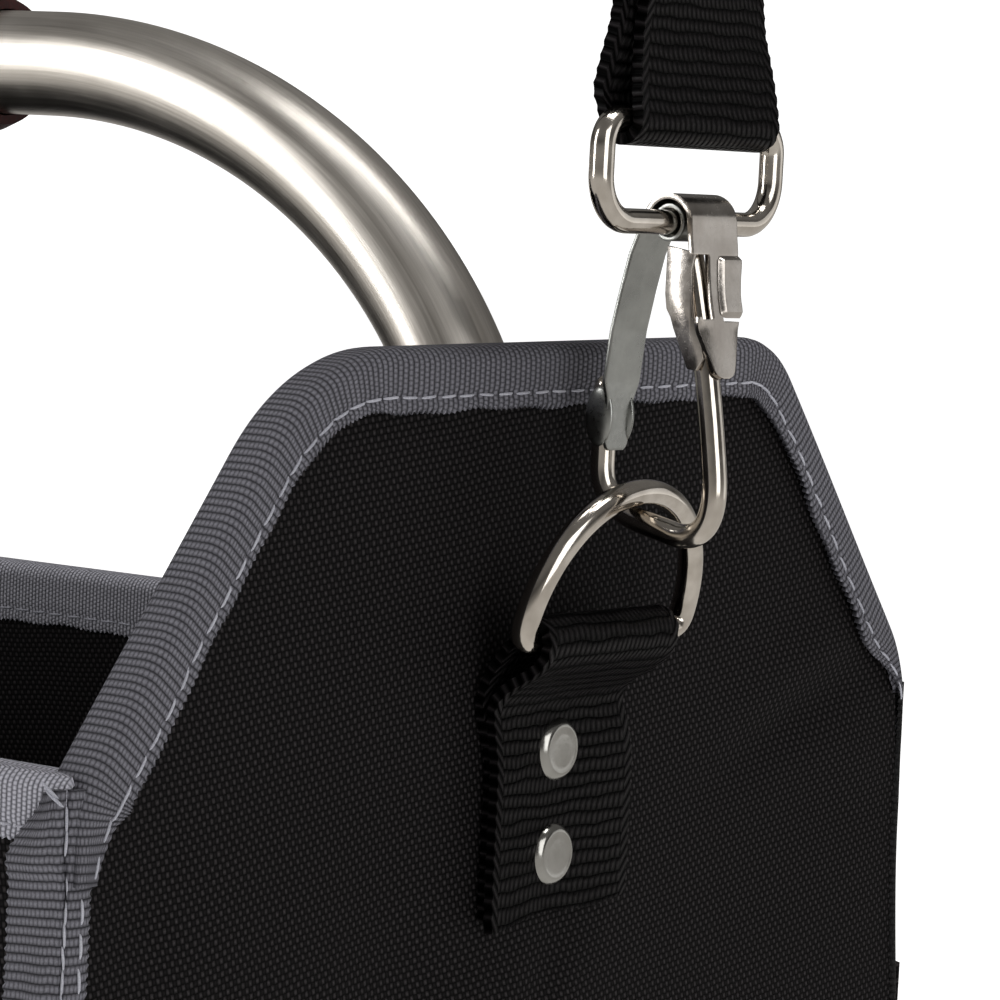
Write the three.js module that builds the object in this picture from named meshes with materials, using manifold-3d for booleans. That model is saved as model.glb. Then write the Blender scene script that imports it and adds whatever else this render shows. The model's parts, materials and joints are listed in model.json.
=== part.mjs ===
// Open-top tool tote with a bent tubular handle and a clip-on shoulder strap.
// Millimetres. X runs along the bag and its handle, Y across it, Z up from the floor.
// The right end is at +X and the front wall, with the zipped pocket, at -Y.
import * as THREE from 'three';
import { mergeVertices } from 'three/addons/utils/BufferGeometryUtils.js';
import Module from 'manifold-3d';

const wasm = await Module();
wasm.setup();

// Bag body
const bagLength = 400;
const rimWidth = 222;
const sideFlare = 5;
const flareBelowRim = 25;
const flareDrop = 60;
const rimHeight = 200;
const peakRise = 60;
const peakWidth = 124;
const peakRadius = 14;
const panelInset = 3.5;
const wallThick = 6;
const endThick = 4;
const wallBulge = 5;
const endBulge = 4;
const tabClearance = 4;
const rowBelowRim = 15;
const fitGap = 0.3;

// Base
const footHeight = 4;
const footRadius = 10;
const footInset = 34;
const footStem = 2.6;
const baseThick = 5;
const baseCorner = 0.5;
const boardThick = 3;
const boardMargin = 4;
const baseBandHeight = 12;
const bandClearance = 2;

// Binding tape
const tapeThick = 1.2;
const tapeWidth = 10.5;
const endTapeWidth = 9;
const tapeSlack = 0.4;
const cornerTapeWall = 12;
const cornerTapeEnd = 6;
const cornerTapeTurn = 1;
const cornerTapeBow = 0.4;

// Handle
const tubeRadius = 9;
const tubeWall = 1.2;
const tubeSides = 12;
const tubeBendAlong = 98.9;
const tubeBendDown = 81.8;
const handleRise = 41.2;
const tubeCover = 2.2;
const gripRadius = 13.5;
const gripLength = 132;
const gripTaper = 7;
const gripLip = 11.2;
const sleeveThick = 1.5;
const sleeveFlange = 10;

// Webbing, tabs and rivets
const webWidth = 38;
const webThick = 1.6;
const tabTail = 10.4;
const rivetBelowRim = 3.6;
const rivetSpacing = 17;
const rivetRadius = 5.2;
const rivetFlat = 4.2;
const rivetHeadThick = 1.8;
const rivetShank = 2;
const burrRadius = 4.6;
const burrThick = 1.3;
const burrRound = 0.8;
const rivetEdge = 0.6;
const tabEase = 2;
const tabFlare = 7;

// D-ring
const ringWire = 2.1;
const dRingOut = 7;
const dRingUp = 14.5;
const dRingHalf = 21.5;
const dRingRise = 24.2;
const dRingLean = 15.8;
const dRingCorner = 3;

// Snap hook, drawn about the centre of the ring bar that it hangs on
const hookWire = 1.95;
const hookReach = 42.4;
const hookOffset = 5.3;
const clampSheet = 0.8;
const clampWidth = 12;
const clampCurl = 4;
const clampCurlEnd = 125;
const clampFlange = 3.05;
const clampLower = 8.8;
const clampUpper = 0.6;
const shieldLength = 17.6;
const flangeLength = 16.6;
const channelX = 2;
const channelZ = -7.6;
const channelTilt = 12.3;
const gateSheet = 0.6;
const gateWidth = 9.5;
const gateTipWidth = 6.4;
const gateCurl = 3;
const gateCurlStart = 40;
const gateCurlEnd = 150;
const gateTipDrop = 36;
const noseDrop = 26.5;
const noseOut = 13.3;

// Rectangular ring
const linkWire = 1.95;
const linkWidth = 47;
const linkHeight = 15.5;
const linkCorner = 7;
const linkTopCorner = 4.4;

// Shoulder strap
const strapThick = 1.8;
const strapLeg = 135;
const strapTail = 42;
const strapSideTail = 118;
const sliderHeight = 82;
const sliderBar = 3;
const sliderLength = 27;
const padThick = 8;
const padWidth = 62;
const padSweep = 62;
const padLoopWidth = 16;
const padLoopThick = 1.4;

// Zipped front pocket
const zipBelowRim = 16.4;
const zipMargin = 21.4;
const chainWidth = 6;
const chainThick = 2.2;
const zipTapeThick = 0.7;
const zipTapeDrop = 12;
const zipSliderLength = 11;
const zipSliderWidth = 8.6;
const zipSliderThick = 4.6;
const zipSliderAt = -130;
const bridgeStand = 2.7;
const bridgeBar = 0.7;
const bridgeReach = 3.4;
const pullLength = 24;
const pullWidth = 6;
const pullThick = 1.3;
const pullLug = 2.2;
const pocketFloor = 20;
const pocketThick = 2.8;

// Open back pocket
const backPocketBelowRim = 54;
const backPocketEdge = 5.2;
const backPocketGape = 9;
const backPocketRise = 60;
const backPocketWall = 2;

// Sizes that follow from the ones above
const peakHeight = rimHeight + peakRise;
const flareTop = rimHeight - flareBelowRim;
const tubeTop = peakHeight + handleRise;
const rivetHigh = rimHeight - rivetBelowRim;
const tabBottom = rivetHigh - rivetSpacing - tabTail;
const zipHeight = rimHeight - zipBelowRim;
const backPocketTop = rimHeight - backPocketBelowRim;
const endX = bagLength / 2;
const faceX = endX - panelInset;
const baseTop = footHeight + baseThick;
const panelFloor = baseTop + fitGap;
const bulgeFloor = footHeight + baseBandHeight + bandClearance;
const bulgeTop = zipHeight - zipTapeDrop - fitGap;
const edgeInset = tapeThick + fitGap;
const legX = faceX - tubeCover - tubeRadius - fitGap;
const tubeFloor = baseTop + boardThick + 2 * fitGap;
const dRingX = endX + dRingOut;
const dRingZ = rimHeight + dRingUp;
const leanAngle = THREE.MathUtils.degToRad(dRingLean);
const apexX = dRingX + dRingRise * Math.sin(leanAngle);
const apexZ = dRingZ + dRingRise * Math.cos(leanAngle);
const linkX = apexX + hookOffset;
const linkLowZ = apexZ + hookReach;
const linkHighZ = linkLowZ + linkHeight;
const foldRadius = linkWire + fitGap + strapThick / 2;
const strapX = linkX + strapThick / 2 + fitGap / 2;
const strapTurnZ = linkHighZ + strapLeg;
const rimTapeLow = rimHeight - edgeInset - tapeWidth;
const endReach = faceX - endThick - tapeSlack - tapeThick - 2 * fitGap;

const black = { color: 0x171617, roughness: 0.85, metalness: 0 };
const blackWeb = { color: 0x121213, roughness: 0.7, metalness: 0 };
const greyTape = { color: 0x62626c, roughness: 0.8, metalness: 0 };
const brushedSteel = { color: 0xb9b4aa, roughness: 0.28, metalness: 1 };
const nickel = { color: 0xcfc8bd, roughness: 0.12, metalness: 1 };
const springSteel = { color: 0x8a908c, roughness: 0.4, metalness: 1 };
const gripFoam = { color: 0x3a1c1c, roughness: 0.75, metalness: 0 };
const blackPlastic = { color: 0x1b1b1d, roughness: 0.5, metalness: 0 };
const greyBoard = { color: 0x2a2a2c, roughness: 0.8, metalness: 0 };

// Solids

function welded(geometry) {
  const bare = geometry.clone();
  bare.deleteAttribute('normal');
  bare.deleteAttribute('uv');
  return mergeVertices(bare, 1e-4);
}

function solidOf(geometry) {
  const bare = welded(geometry);
  const vertProperties = new Float32Array(bare.attributes.position.array);
  const triVerts = new Uint32Array(bare.index.array);
  return new wasm.Manifold(new wasm.Mesh({ numProp: 3, vertProperties, triVerts }));
}

function geometryOf(solid) {
  const mesh = solid.getMesh();
  const geometry = new THREE.BufferGeometry();
  geometry.setAttribute('position', new THREE.BufferAttribute(new Float32Array(mesh.vertProperties), 3));
  geometry.setIndex(new THREE.BufferAttribute(new Uint32Array(mesh.triVerts), 1));
  return geometry;
}

function cut(geometry, ...tools) {
  return geometryOf(tools.reduce((solid, tool) => solid.subtract(solidOf(tool)), solidOf(geometry)));
}

function unite(first, ...others) {
  return geometryOf(others.reduce((solid, other) => solid.add(solidOf(other)), solidOf(first)));
}

// A closed skin through rings of points, with end caps unless it runs round on itself.
function loft(rings, looped = false) {
  const size = rings[0].length;
  const points = rings.flat();
  const faces = [];
  const last = looped ? rings.length : rings.length - 1;
  for (let row = 0; row < last; row += 1) {
    const here = row * size;
    const next = ((row + 1) % rings.length) * size;
    for (let k = 0; k < size; k += 1) {
      const m = (k + 1) % size;
      faces.push(here + k, next + k, next + m, here + k, next + m, here + m);
    }
  }
  if (!looped) {
    capFaces(rings[0]).forEach(([a, b, c]) => faces.push(a, b, c));
    const top = (rings.length - 1) * size;
    capFaces(rings[rings.length - 1]).forEach(([a, b, c]) => faces.push(top + a, top + c, top + b));
  }
  return outward(points, faces);
}

// Triangles over one flat ring, found in the plane that it lies in.
function capFaces(ring) {
  const centre = ring.reduce((sum, p) => sum.clone().add(p), new THREE.Vector3()).divideScalar(ring.length);
  const normal = new THREE.Vector3();
  ring.forEach((p, k) => {
    const q = ring[(k + 1) % ring.length];
    normal.add(new THREE.Vector3().crossVectors(p.clone().sub(centre), q.clone().sub(centre)));
  });
  normal.normalize();
  const across = ring[1].clone().sub(ring[0]).normalize();
  const up = new THREE.Vector3().crossVectors(normal, across);
  const flat = ring.map((p) => {
    const arm = p.clone().sub(centre);
    return new THREE.Vector2(arm.dot(across), arm.dot(up));
  });
  return THREE.ShapeUtils.triangulateShape(flat, []);
}

function outward(points, faces) {
  const geometry = new THREE.BufferGeometry().setFromPoints(points);
  let volume = 0;
  for (let k = 0; k < faces.length; k += 3) {
    const [a, b, c] = [points[faces[k]], points[faces[k + 1]], points[faces[k + 2]]];
    volume += a.dot(new THREE.Vector3().crossVectors(b, c));
  }
  geometry.setIndex(volume < 0 ? faces.slice().reverse() : faces);
  return geometry;
}

// A slab between two surfaces that share one grid.
function slab(columns, rows, outer, inner) {
  const rings = columns.map((u) => [
    ...rows.map((v) => outer(u, v)),
    ...rows.slice().reverse().map((v) => inner(u, v)),
  ]);
  return loftStrips(rings, rows.length);
}

// Rings made of an outer and an inner run of points, capped by the strips between them.
// Both runs split their squares along the same diagonal, so that slabs nest.
function loftStrips(rings, run) {
  const size = rings[0].length;
  const faces = [];
  for (let row = 0; row + 1 < rings.length; row += 1) {
    for (let k = 0; k < size; k += 1) {
      const [here, next] = [row * size + k, (row + 1) * size + k];
      const [hereNext, nextNext] = [here, next].map((at) => at - k + ((k + 1) % size));
      const outerRun = [here, next, nextNext, here, nextNext, hereNext];
      const innerRun = [here, next, hereNext, next, nextNext, hereNext];
      faces.push(...(k < run ? outerRun : innerRun));
    }
  }
  const top = (rings.length - 1) * size;
  for (let k = 0; k + 1 < run; k += 1) {
    const back = size - 1 - k;
    faces.push(k, k + 1, back - 1, k, back - 1, back);
    faces.push(top + k, top + back - 1, top + k + 1, top + k, top + back, top + back - 1);
  }
  return outward(rings.flat(), faces);
}

function steps(from, to, count) {
  return Array.from({ length: count + 1 }, (_, k) => from + ((to - from) * k) / count);
}

// Wire of round section along points, open or closed.
function wire(points, radius, sides, looped = false) {
  const count = points.length;
  const side = new THREE.Vector3();
  const rings = points.map((point, k) => {
    const before = points[looped ? (k + count - 1) % count : Math.max(k - 1, 0)];
    const after = points[looped ? (k + 1) % count : Math.min(k + 1, count - 1)];
    const along = after.clone().sub(before).normalize();
    side.copy(wireSide(points));
    const up = new THREE.Vector3().crossVectors(along, side).normalize();
    return Array.from({ length: sides }, (_, s) => {
      const turn = (2 * Math.PI * s) / sides;
      return point.clone()
        .addScaledVector(side, radius * Math.cos(turn))
        .addScaledVector(up, radius * Math.sin(turn));
    });
  });
  return loft(rings, looped);
}

// The direction square to the plane that a bent wire lies in.
function wireSide(points) {
  const third = Math.floor(points.length / 3);
  const arm = points[third].clone().sub(points[0]);
  const other = points[2 * third].clone().sub(points[0]);
  return new THREE.Vector3().crossVectors(arm, other).normalize();
}

// A flat strip whose middle line is drawn in X and Z, of any width along Y.
function ribbon(line, thick, widthAt) {
  const rings = line.map((point, k) => {
    const before = line[Math.max(k - 1, 0)];
    const after = line[Math.min(k + 1, line.length - 1)];
    const along = after.clone().sub(before).normalize();
    const half = widthAt(k / (line.length - 1)) / 2;
    const [nx, nz] = [(-along.y * thick) / 2, (along.x * thick) / 2];
    return [
      new THREE.Vector3(point.x + nx, half, point.y + nz),
      new THREE.Vector3(point.x + nx, -half, point.y + nz),
      new THREE.Vector3(point.x - nx, -half, point.y - nz),
      new THREE.Vector3(point.x - nx, half, point.y - nz),
    ];
  });
  return loft(rings);
}

// A shape drawn in X and Z, given a depth along Y and centred on y.
function plateY(shape, depth, y = 0, curveSegments = 8) {
  const plate = new THREE.ExtrudeGeometry(shape, { depth, bevelEnabled: false, curveSegments });
  plate.rotateX(Math.PI / 2);
  plate.translate(0, y + depth / 2, 0);
  return plate;
}

function barX(radius, from, to, y, z, sides = 20) {
  const bar = new THREE.CylinderGeometry(radius, radius, to - from, sides);
  bar.rotateZ(Math.PI / 2);
  bar.translate((from + to) / 2, y, z);
  return bar;
}

function block(x0, x1, y0, y1, z0, z1) {
  const box = new THREE.BoxGeometry(x1 - x0, y1 - y0, z1 - z0);
  box.translate((x0 + x1) / 2, (y0 + y1) / 2, (z0 + z1) / 2);
  return box;
}

// Bag surfaces

function smooth(t) {
  const bounded = Math.min(Math.max(t, 0), 1);
  return (1 - Math.cos(Math.PI * bounded)) / 2;
}

function swell(z, floor, top) {
  const t = (z - floor) / (top - floor);
  return t <= 0 || t >= 1 ? 0 : Math.sin(Math.PI * t) ** 2;
}

// Half the width of the bag below the rim, and of the end panel's outline above it.
function halfWidthAt(z, inset = 0) {
  if (z <= rimHeight) {
    return rimWidth / 2 + sideFlare * smooth((flareTop - z) / flareDrop);
  }
  const { turn, centreY, centreZ, run, rise } = peakCorner();
  const radius = peakRadius - inset;
  if (z > centreZ + radius * Math.cos(turn)) {
    return centreY + Math.sqrt(Math.max(radius ** 2 - (z - centreZ) ** 2, 0));
  }
  const slant = Math.hypot(run, rise);
  return rimWidth / 2 - (run * (z - rimHeight)) / rise - (inset * slant) / rise;
}

// The rounded corner between an end panel's slanted edge and its level top.
function peakCorner() {
  const run = (rimWidth - peakWidth) / 2;
  const rise = peakHeight - rimHeight;
  const turn = Math.atan2(rise, run);
  const centreY = peakWidth / 2 - peakRadius * Math.tan(turn / 2);
  return { turn, centreY, centreZ: peakHeight - peakRadius, run, rise };
}

function between(list, from, to) {
  return list.filter((item) => item > from + 1 && item < to - 1);
}

// How far along a rising list a value lies: the place before it and the share of the step.
function bracket(list, value) {
  const last = list.length - 2;
  const k = Math.max(0, Math.min(last, list.findIndex((item) => item > value) - 1));
  const low = value >= list[last + 1] ? last : k;
  return [low, (value - list[low]) / (list[low + 1] - list[low])];
}

// The height of a faceted surface between the points of its grid.
function onGrid(columns, rows, height, x, z) {
  const [i, s] = bracket(columns, x);
  const [k, t] = bracket(rows, z);
  const low = height(columns[i], rows[k]) * (1 - s) + height(columns[i + 1], rows[k]) * s;
  const high = height(columns[i], rows[k + 1]) * (1 - s) + height(columns[i + 1], rows[k + 1]) * s;
  return low * (1 - t) + high * t;
}

const zipReach = endX - zipMargin;
const wallColumns = [-endReach, ...steps(-zipReach, zipReach, 8), endReach];
const wallRows = [
  panelFloor, bulgeFloor, ...steps(bulgeFloor, bulgeTop, 6).slice(1), rimTapeLow,
  rimTapeLow + tapeWidth / 2, rimTapeLow + tapeWidth,
];

function wallFace(x, z) {
  const height = (u, v) => halfWidthAt(v)
    + wallBulge * Math.cos((Math.PI * u) / bagLength) * swell(v, bulgeFloor, bulgeTop);
  return onGrid(wallColumns, wallRows, height, x, z);
}

const slantSteps = 4;
const bendSteps = 4;
const endColumns = [-1, -0.9, -0.79, -0.66, -0.33, 0.33, 0.66, 0.79, 0.9, 1];

function endRows() {
  const raised = endOutline(edgeInset).slice(0, slantSteps + bendSteps + 1).map(([, z]) => z);
  const low = steps(bulgeFloor, tabBottom - tabClearance, 5);
  return [panelFloor, ...low, rimHeight - rowBelowRim, rimHeight, ...raised];
}

// How far out the end panel's face stands, as a share u of its half width and a height z.
function endFaceAt(u, z) {
  return faceX + Math.cos((Math.PI * u) / 2) * endBulge * swell(z, bulgeFloor, tabBottom - tabClearance);
}

function endFace(y, z) {
  const half = halfWidthAt(z, z > rimHeight ? edgeInset : 0);
  return onGrid(endColumns, endRows(), endFaceAt, Math.min(Math.max(y / half, -1), 1), z);
}

// The end panel's edge as points in Y and Z, from the front shoulder to the back one.
function endOutline(inset) {
  const { turn, centreY, centreZ } = peakCorner();
  const radius = peakRadius - inset;
  const slantTop = centreZ + radius * Math.cos(turn);
  const slant = steps(rimHeight + fitGap, slantTop, slantSteps).slice(0, -1).map((z) => [
    -halfWidthAt(z, inset),
    z,
  ]);
  const bend = steps(0, turn, bendSteps).map((a) => [
    -centreY - radius * Math.sin(turn - a),
    centreZ + radius * Math.cos(turn - a),
  ]);
  const half = [...slant, ...bend];
  const mirrored = half.slice().reverse().map(([y, z]) => [-y, z]);
  return [...half, [0, centreZ + radius], ...mirrored];
}

// Base

function basePlate(margin, low, high, radius) {
  const [halfX, halfY] = [faceX - margin, rimWidth / 2 + sideFlare - margin];
  const shape = new THREE.Shape();
  shape.moveTo(halfX - radius, -halfY);
  shape.absarc(halfX - radius, -halfY + radius, radius, -Math.PI / 2, 0);
  shape.absarc(halfX - radius, halfY - radius, radius, 0, Math.PI / 2);
  shape.absarc(-halfX + radius, halfY - radius, radius, Math.PI / 2, Math.PI);
  shape.absarc(-halfX + radius, -halfY + radius, radius, Math.PI, 1.5 * Math.PI);
  const settings = { depth: high - low, bevelEnabled: false, curveSegments: 3 };
  const plate = new THREE.ExtrudeGeometry(shape, settings);
  plate.translate(0, 0, low);
  return plate;
}

const footPlaces = [1, -1].flatMap((sideX) => [1, -1].map((sideY) => ({
  name: `${sideY > 0 ? 'back' : 'front'}_${sideX > 0 ? 'right' : 'left'}_foot`,
  x: sideX * (endX - footInset),
  y: sideY * (rimWidth / 2 - footInset),
})));

function footHoles() {
  return footPlaces.map(({ x, y }) => {
    const hole = new THREE.CylinderGeometry(footStem + fitGap, footStem + fitGap, 20, 8);
    hole.rotateX(Math.PI / 2);
    hole.translate(x, y, baseTop);
    return hole;
  });
}

function basePanel() {
  return cut(basePlate(0, footHeight, baseTop, baseCorner), ...footHoles());
}

function baseBoard() {
  const low = baseTop + fitGap;
  const margin = endThick + boardMargin + fitGap;
  return cut(basePlate(margin, low, low + boardThick, baseCorner), ...footHoles());
}

function baseFoot(x, y) {
  const boardTop = baseTop + fitGap + boardThick;
  const profile = [
    [0, 0], [footRadius - 3, 0], [footRadius - 1, 0.8], [footRadius, footHeight - fitGap],
    [footStem, footHeight - fitGap], [footStem, boardTop + fitGap],
    [footStem + 3, boardTop + fitGap], [footStem + 2.4, boardTop + 1.6], [0, boardTop + 1.6],
  ].map(([r, z]) => new THREE.Vector2(r, z));
  const foot = new THREE.LatheGeometry(profile, 12);
  foot.rotateX(Math.PI / 2);
  foot.translate(x, y, 0);
  return foot;
}

function baseBinding() {
  const high = footHeight + baseBandHeight;
  const band = basePlate(-fitGap - tapeThick, footHeight, high, baseCorner + tapeThick + fitGap);
  const room = basePlate(-fitGap, footHeight - 1, high + 1, baseCorner + fitGap);
  return cut(band, room);
}

// Walls and end panels

function longWall(side) {
  const face = (x, z, depth) => new THREE.Vector3(x, side * (wallFace(x, z) - depth), z);
  return slab(wallColumns, wallRows, (x, z) => face(x, z, 0), (x, z) => face(x, z, wallThick));
}

function endPanel() {
  const face = (u, z, depth) => {
    const y = u * halfWidthAt(z, z > rimHeight ? edgeInset : 0);
    return new THREE.Vector3(endFaceAt(u, z) - depth, y, z);
  };
  const panel = slab(endColumns, endRows(), (u, z) => face(u, z, 0), (u, z) => face(u, z, endThick));
  return cut(panel, tubeBody(tubeRadius + fitGap, 0, tubeSides), ...rivetHoles());
}

// Points across the tape from its inner edge, over the panel's edge, to the far side's edge.
function tapeRing(width, place) {
  const over = tapeThick + fitGap;
  const outer = [
    place(-width, 'out', over), place(-width / 2, 'out', over), place(0, 'out', over), place(over, 'out', -1),
    place(over, 'in', -1), place(0, 'in', over), place(-width / 2, 'in', over), place(-width, 'in', over),
  ];
  const inner = [
    place(-width, 'in', fitGap), place(-width / 2, 'in', fitGap), place(fitGap, 'in', fitGap),
    place(fitGap, 'out', fitGap), place(-width / 2, 'out', fitGap), place(-width, 'out', fitGap),
  ];
  return [...outer, ...inner];
}

function endBinding() {
  const edge = endOutline(edgeInset);
  const rings = edge.map(([y, z], k) => {
    const before = edge[Math.max(k - 1, 0)];
    const after = edge[Math.min(k + 1, edge.length - 1)];
    const along = new THREE.Vector2(after[0] - before[0], after[1] - before[1]).normalize();
    const out = new THREE.Vector2(-along.y, along.x);
    return tapeRing(endTapeWidth, (n, sheet, lift) => {
      const [py, pz] = [y + out.x * n, z + out.y * n];
      const face = endFace(y + out.x * Math.min(n, 0), z + out.y * Math.min(n, 0));
      const off = tapeSlack + lift;
      return new THREE.Vector3(sheet === 'out' ? face + off : face - endThick - off, py, pz);
    });
  });
  return cut(loft(rings), tubeBody(tubeRadius + fitGap, 0, tubeSides));
}

function rimBinding(side) {
  const top = rimHeight - edgeInset;
  const rings = steps(-endReach, endReach, 4).map((x) => tapeRing(tapeWidth, (n, sheet, lift) => {
    const face = wallFace(x, top + Math.min(n, 0));
    const y = sheet === 'out' ? face + lift : face - wallThick - lift;
    return new THREE.Vector3(x, side * y, top + n);
  }));
  return loft(rings);
}

function cornerTape(sideX, sideY) {
  const low = footHeight + baseBandHeight + fitGap;
  const high = rimTapeLow - fitGap;
  const over = fitGap + tapeThick;
  const rows = [low, ...between(wallRows, low, high), high];
  const rings = rows.map((z) => {
    const half = halfWidthAt(z);
    const edgeX = endFace(half, z);
    const wallX = edgeX - cornerTapeWall;
    const midX = edgeX - cornerTapeWall / 2;
    const endY = half - (sideY < 0 ? cornerTapeEnd : cornerTapeTurn);
    const place = (x, y) => new THREE.Vector3(sideX * x, sideY * y, z);
    return [
      place(endFace(endY, z) + over, endY), place(edgeX + over, half + cornerTapeBow),
      place(edgeX + cornerTapeBow, half + over),
      place(midX, wallFace(midX, z) + over), place(wallX, wallFace(wallX, z) + over),
      place(wallX, wallFace(wallX, z) + fitGap), place(midX, wallFace(midX, z) + fitGap),
      place(edgeX + fitGap, half + fitGap), place(endFace(endY, z) + fitGap, endY),
    ];
  });
  return loft(rings);
}

// Handle

// Points along the middle of the bent tube, from one foot to the other.
function tubeLine(bendSteps) {
  const bendX = legX - tubeBendAlong;
  const bendZ = tubeTop - tubeBendDown;
  const arc = steps(0, Math.PI / 2, bendSteps);
  const half = [
    new THREE.Vector3(legX, 0, tubeFloor),
    ...arc.map((a) => new THREE.Vector3(
      bendX + tubeBendAlong * Math.cos(a), 0, bendZ + tubeBendDown * Math.sin(a),
    )),
  ];
  const other = half.slice().reverse().map((p) => new THREE.Vector3(-p.x, p.y, p.z));
  return [...half, ...other];
}

function tubeBody(outer, wall, sides) {
  const rim = (radius) => Array.from({ length: sides }, (_, s) => {
    const turn = (2 * Math.PI * s) / sides;
    return [radius * Math.cos(turn), radius * Math.sin(turn)];
  });
  const line = tubeLine(10);
  const side = new THREE.Vector3(0, 1, 0);
  const skin = (radius, reach) => loft(line.map((point, k) => {
    const before = line[Math.max(k - 1, 0)];
    const after = line[Math.min(k + 1, line.length - 1)];
    const along = after.clone().sub(before).normalize();
    const up = new THREE.Vector3().crossVectors(side, along);
    const end = k === 0 || k === line.length - 1 ? -reach : 0;
    return rim(radius).map(([a, b]) => point.clone()
      .addScaledVector(side, a).addScaledVector(up, b).add(new THREE.Vector3(0, 0, end)));
  }));
  return wall > 0 ? cut(skin(outer, 0), skin(outer - wall, 1)) : skin(outer, 4);
}

const rivetPlaces = { upper: rivetHigh, lower: rivetHigh - rivetSpacing };

function rivetHoles() {
  return Object.values(rivetPlaces).map((z) => barX(rivetShank + fitGap, legX - 20, endX + 20, 0, z, 8));
}

function mirroredHoles() {
  return rivetHoles().map((hole) => hole.rotateZ(Math.PI));
}

function handleTube() {
  return cut(tubeBody(tubeRadius, tubeWall, tubeSides), ...rivetHoles(), ...mirroredHoles());
}

function handleGrip() {
  const bore = tubeRadius + fitGap;
  const half = gripLength / 2;
  const profile = [
    [bore, -half], [gripLip, -half], [gripLip + 1.2, -half + 1.5], [gripRadius, -half + gripTaper],
    [gripRadius, half - gripTaper], [gripLip + 1.2, half - 1.5], [gripLip, half], [bore, half], [bore, -half],
  ].map(([r, x]) => new THREE.Vector2(r, x));
  const grip = new THREE.LatheGeometry(profile, 20);
  grip.rotateZ(-Math.PI / 2);
  grip.translate(0, 0, tubeTop);
  return grip;
}

function handleSleeve() {
  const middle = sleeveThick / 2;
  const flangeX = faceX - endThick - fitGap - middle;
  const radius = tubeRadius + fitGap + middle;
  const start = Math.acos((flangeX - legX) / radius);
  const arc = steps(start, 2 * Math.PI - start, 12);
  const line = [
    [flangeX, radius * Math.sin(start) + sleeveFlange],
    ...arc.map((a) => [legX + radius * Math.cos(a), radius * Math.sin(a)]),
    [flangeX, -radius * Math.sin(start) - sleeveFlange],
  ].map(([x, y]) => new THREE.Vector2(x, y));
  const sleeve = ribbon(line, sleeveThick, () => tubeTop - tubeBendDown - tubeFloor);
  sleeve.rotateX(Math.PI / 2);
  sleeve.scale(1, -1, 1);
  sleeve.translate(0, 0, (tubeTop - tubeBendDown + tubeFloor) / 2);
  return cut(outwardAgain(sleeve), ...rivetHoles());
}

// Turns a mirrored skin right side out again.
function outwardAgain(geometry) {
  const bare = welded(geometry);
  const points = [];
  for (let k = 0; k < bare.attributes.position.count; k += 1) {
    points.push(new THREE.Vector3().fromBufferAttribute(bare.attributes.position, k));
  }
  return outward(points, Array.from(bare.index.array));
}

// Tabs, rivets and D-rings

const tabInnerX = faceX + fitGap + webThick / 2;
const tabOuterX = tabInnerX + webThick + fitGap;
const tabJoin = rivetHigh + rivetRadius + tabEase;
const rivetSeatX = tabOuterX + webThick / 2 + fitGap;

function curvePoints(from, control, to, count) {
  return new THREE.QuadraticBezierCurve(from, control, to).getPoints(count);
}

// Webbing folded over the bar of the D-ring, sewn flat below it.
function tab() {
  const loop = ringWire + fitGap + webThick / 2;
  const point = (x, z) => new THREE.Vector2(x, z);
  const back = point(dRingX - loop, dRingZ);
  const front = point(dRingX + loop, dRingZ);
  const arc = steps(Math.PI, 0, 8).map((a) => point(
    dRingX + loop * Math.cos(a), dRingZ + loop * Math.sin(a),
  ));
  const line = [
    point(tabInnerX, tabBottom),
    ...curvePoints(point(tabInnerX, tabJoin), point(tabInnerX, dRingZ - tabFlare), back, 4).slice(0, -1),
    ...arc.slice(0, -1),
    ...curvePoints(front, point(front.x, tabJoin + 2 * tabEase), point(tabOuterX, tabJoin), 6),
    point(tabOuterX, tabBottom),
  ];
  return cut(ribbon(line, webThick, () => webWidth), ...rivetHoles());
}

function rivet(z) {
  const inside = legX - tubeRadius - 2 * fitGap - sleeveThick;
  const burr = inside - fitGap;
  const head = rivetSeatX + rivetHeadThick;
  const profile = [
    [0, burr - burrThick], [burrRadius - burrRound, burr - burrThick],
    [burrRadius, burr - burrThick + burrRound], [burrRadius, burr], [rivetShank, burr],
    [rivetShank, rivetSeatX], [rivetRadius, rivetSeatX], [rivetRadius, rivetSeatX + rivetEdge],
    [rivetFlat, head], [0, head],
  ].map(([r, x]) => new THREE.Vector2(r, x));
  const turned = new THREE.LatheGeometry(profile, 12);
  turned.rotateZ(-Math.PI / 2);
  turned.translate(0, 0, z);
  return turned;
}

function dRing() {
  const path = new THREE.Path();
  const flat = dRingHalf - dRingCorner;
  path.moveTo(-flat, 0);
  path.lineTo(flat, 0);
  path.quadraticCurveTo(dRingHalf, 0, dRingHalf, dRingCorner);
  path.absellipse(0, dRingCorner, dRingHalf, dRingRise - dRingCorner, 0, Math.PI);
  path.quadraticCurveTo(-dRingHalf, 0, -flat, 0);
  const outline = evenPoints(path.getPoints(6));
  const points = outline.map((p) => new THREE.Vector3(
    dRingX + p.y * Math.sin(leanAngle), p.x, dRingZ + p.y * Math.cos(leanAngle),
  ));
  return wire(points, ringWire, 8, true);
}

// Drops points that repeat the one before, the first one at the end included.
function evenPoints(points) {
  const kept = points.filter((p, k) => k === 0 || p.distanceTo(points[k - 1]) > 1e-6);
  return kept[0].distanceTo(kept[kept.length - 1]) < 1e-6 ? kept.slice(0, -1) : kept;
}

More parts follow.
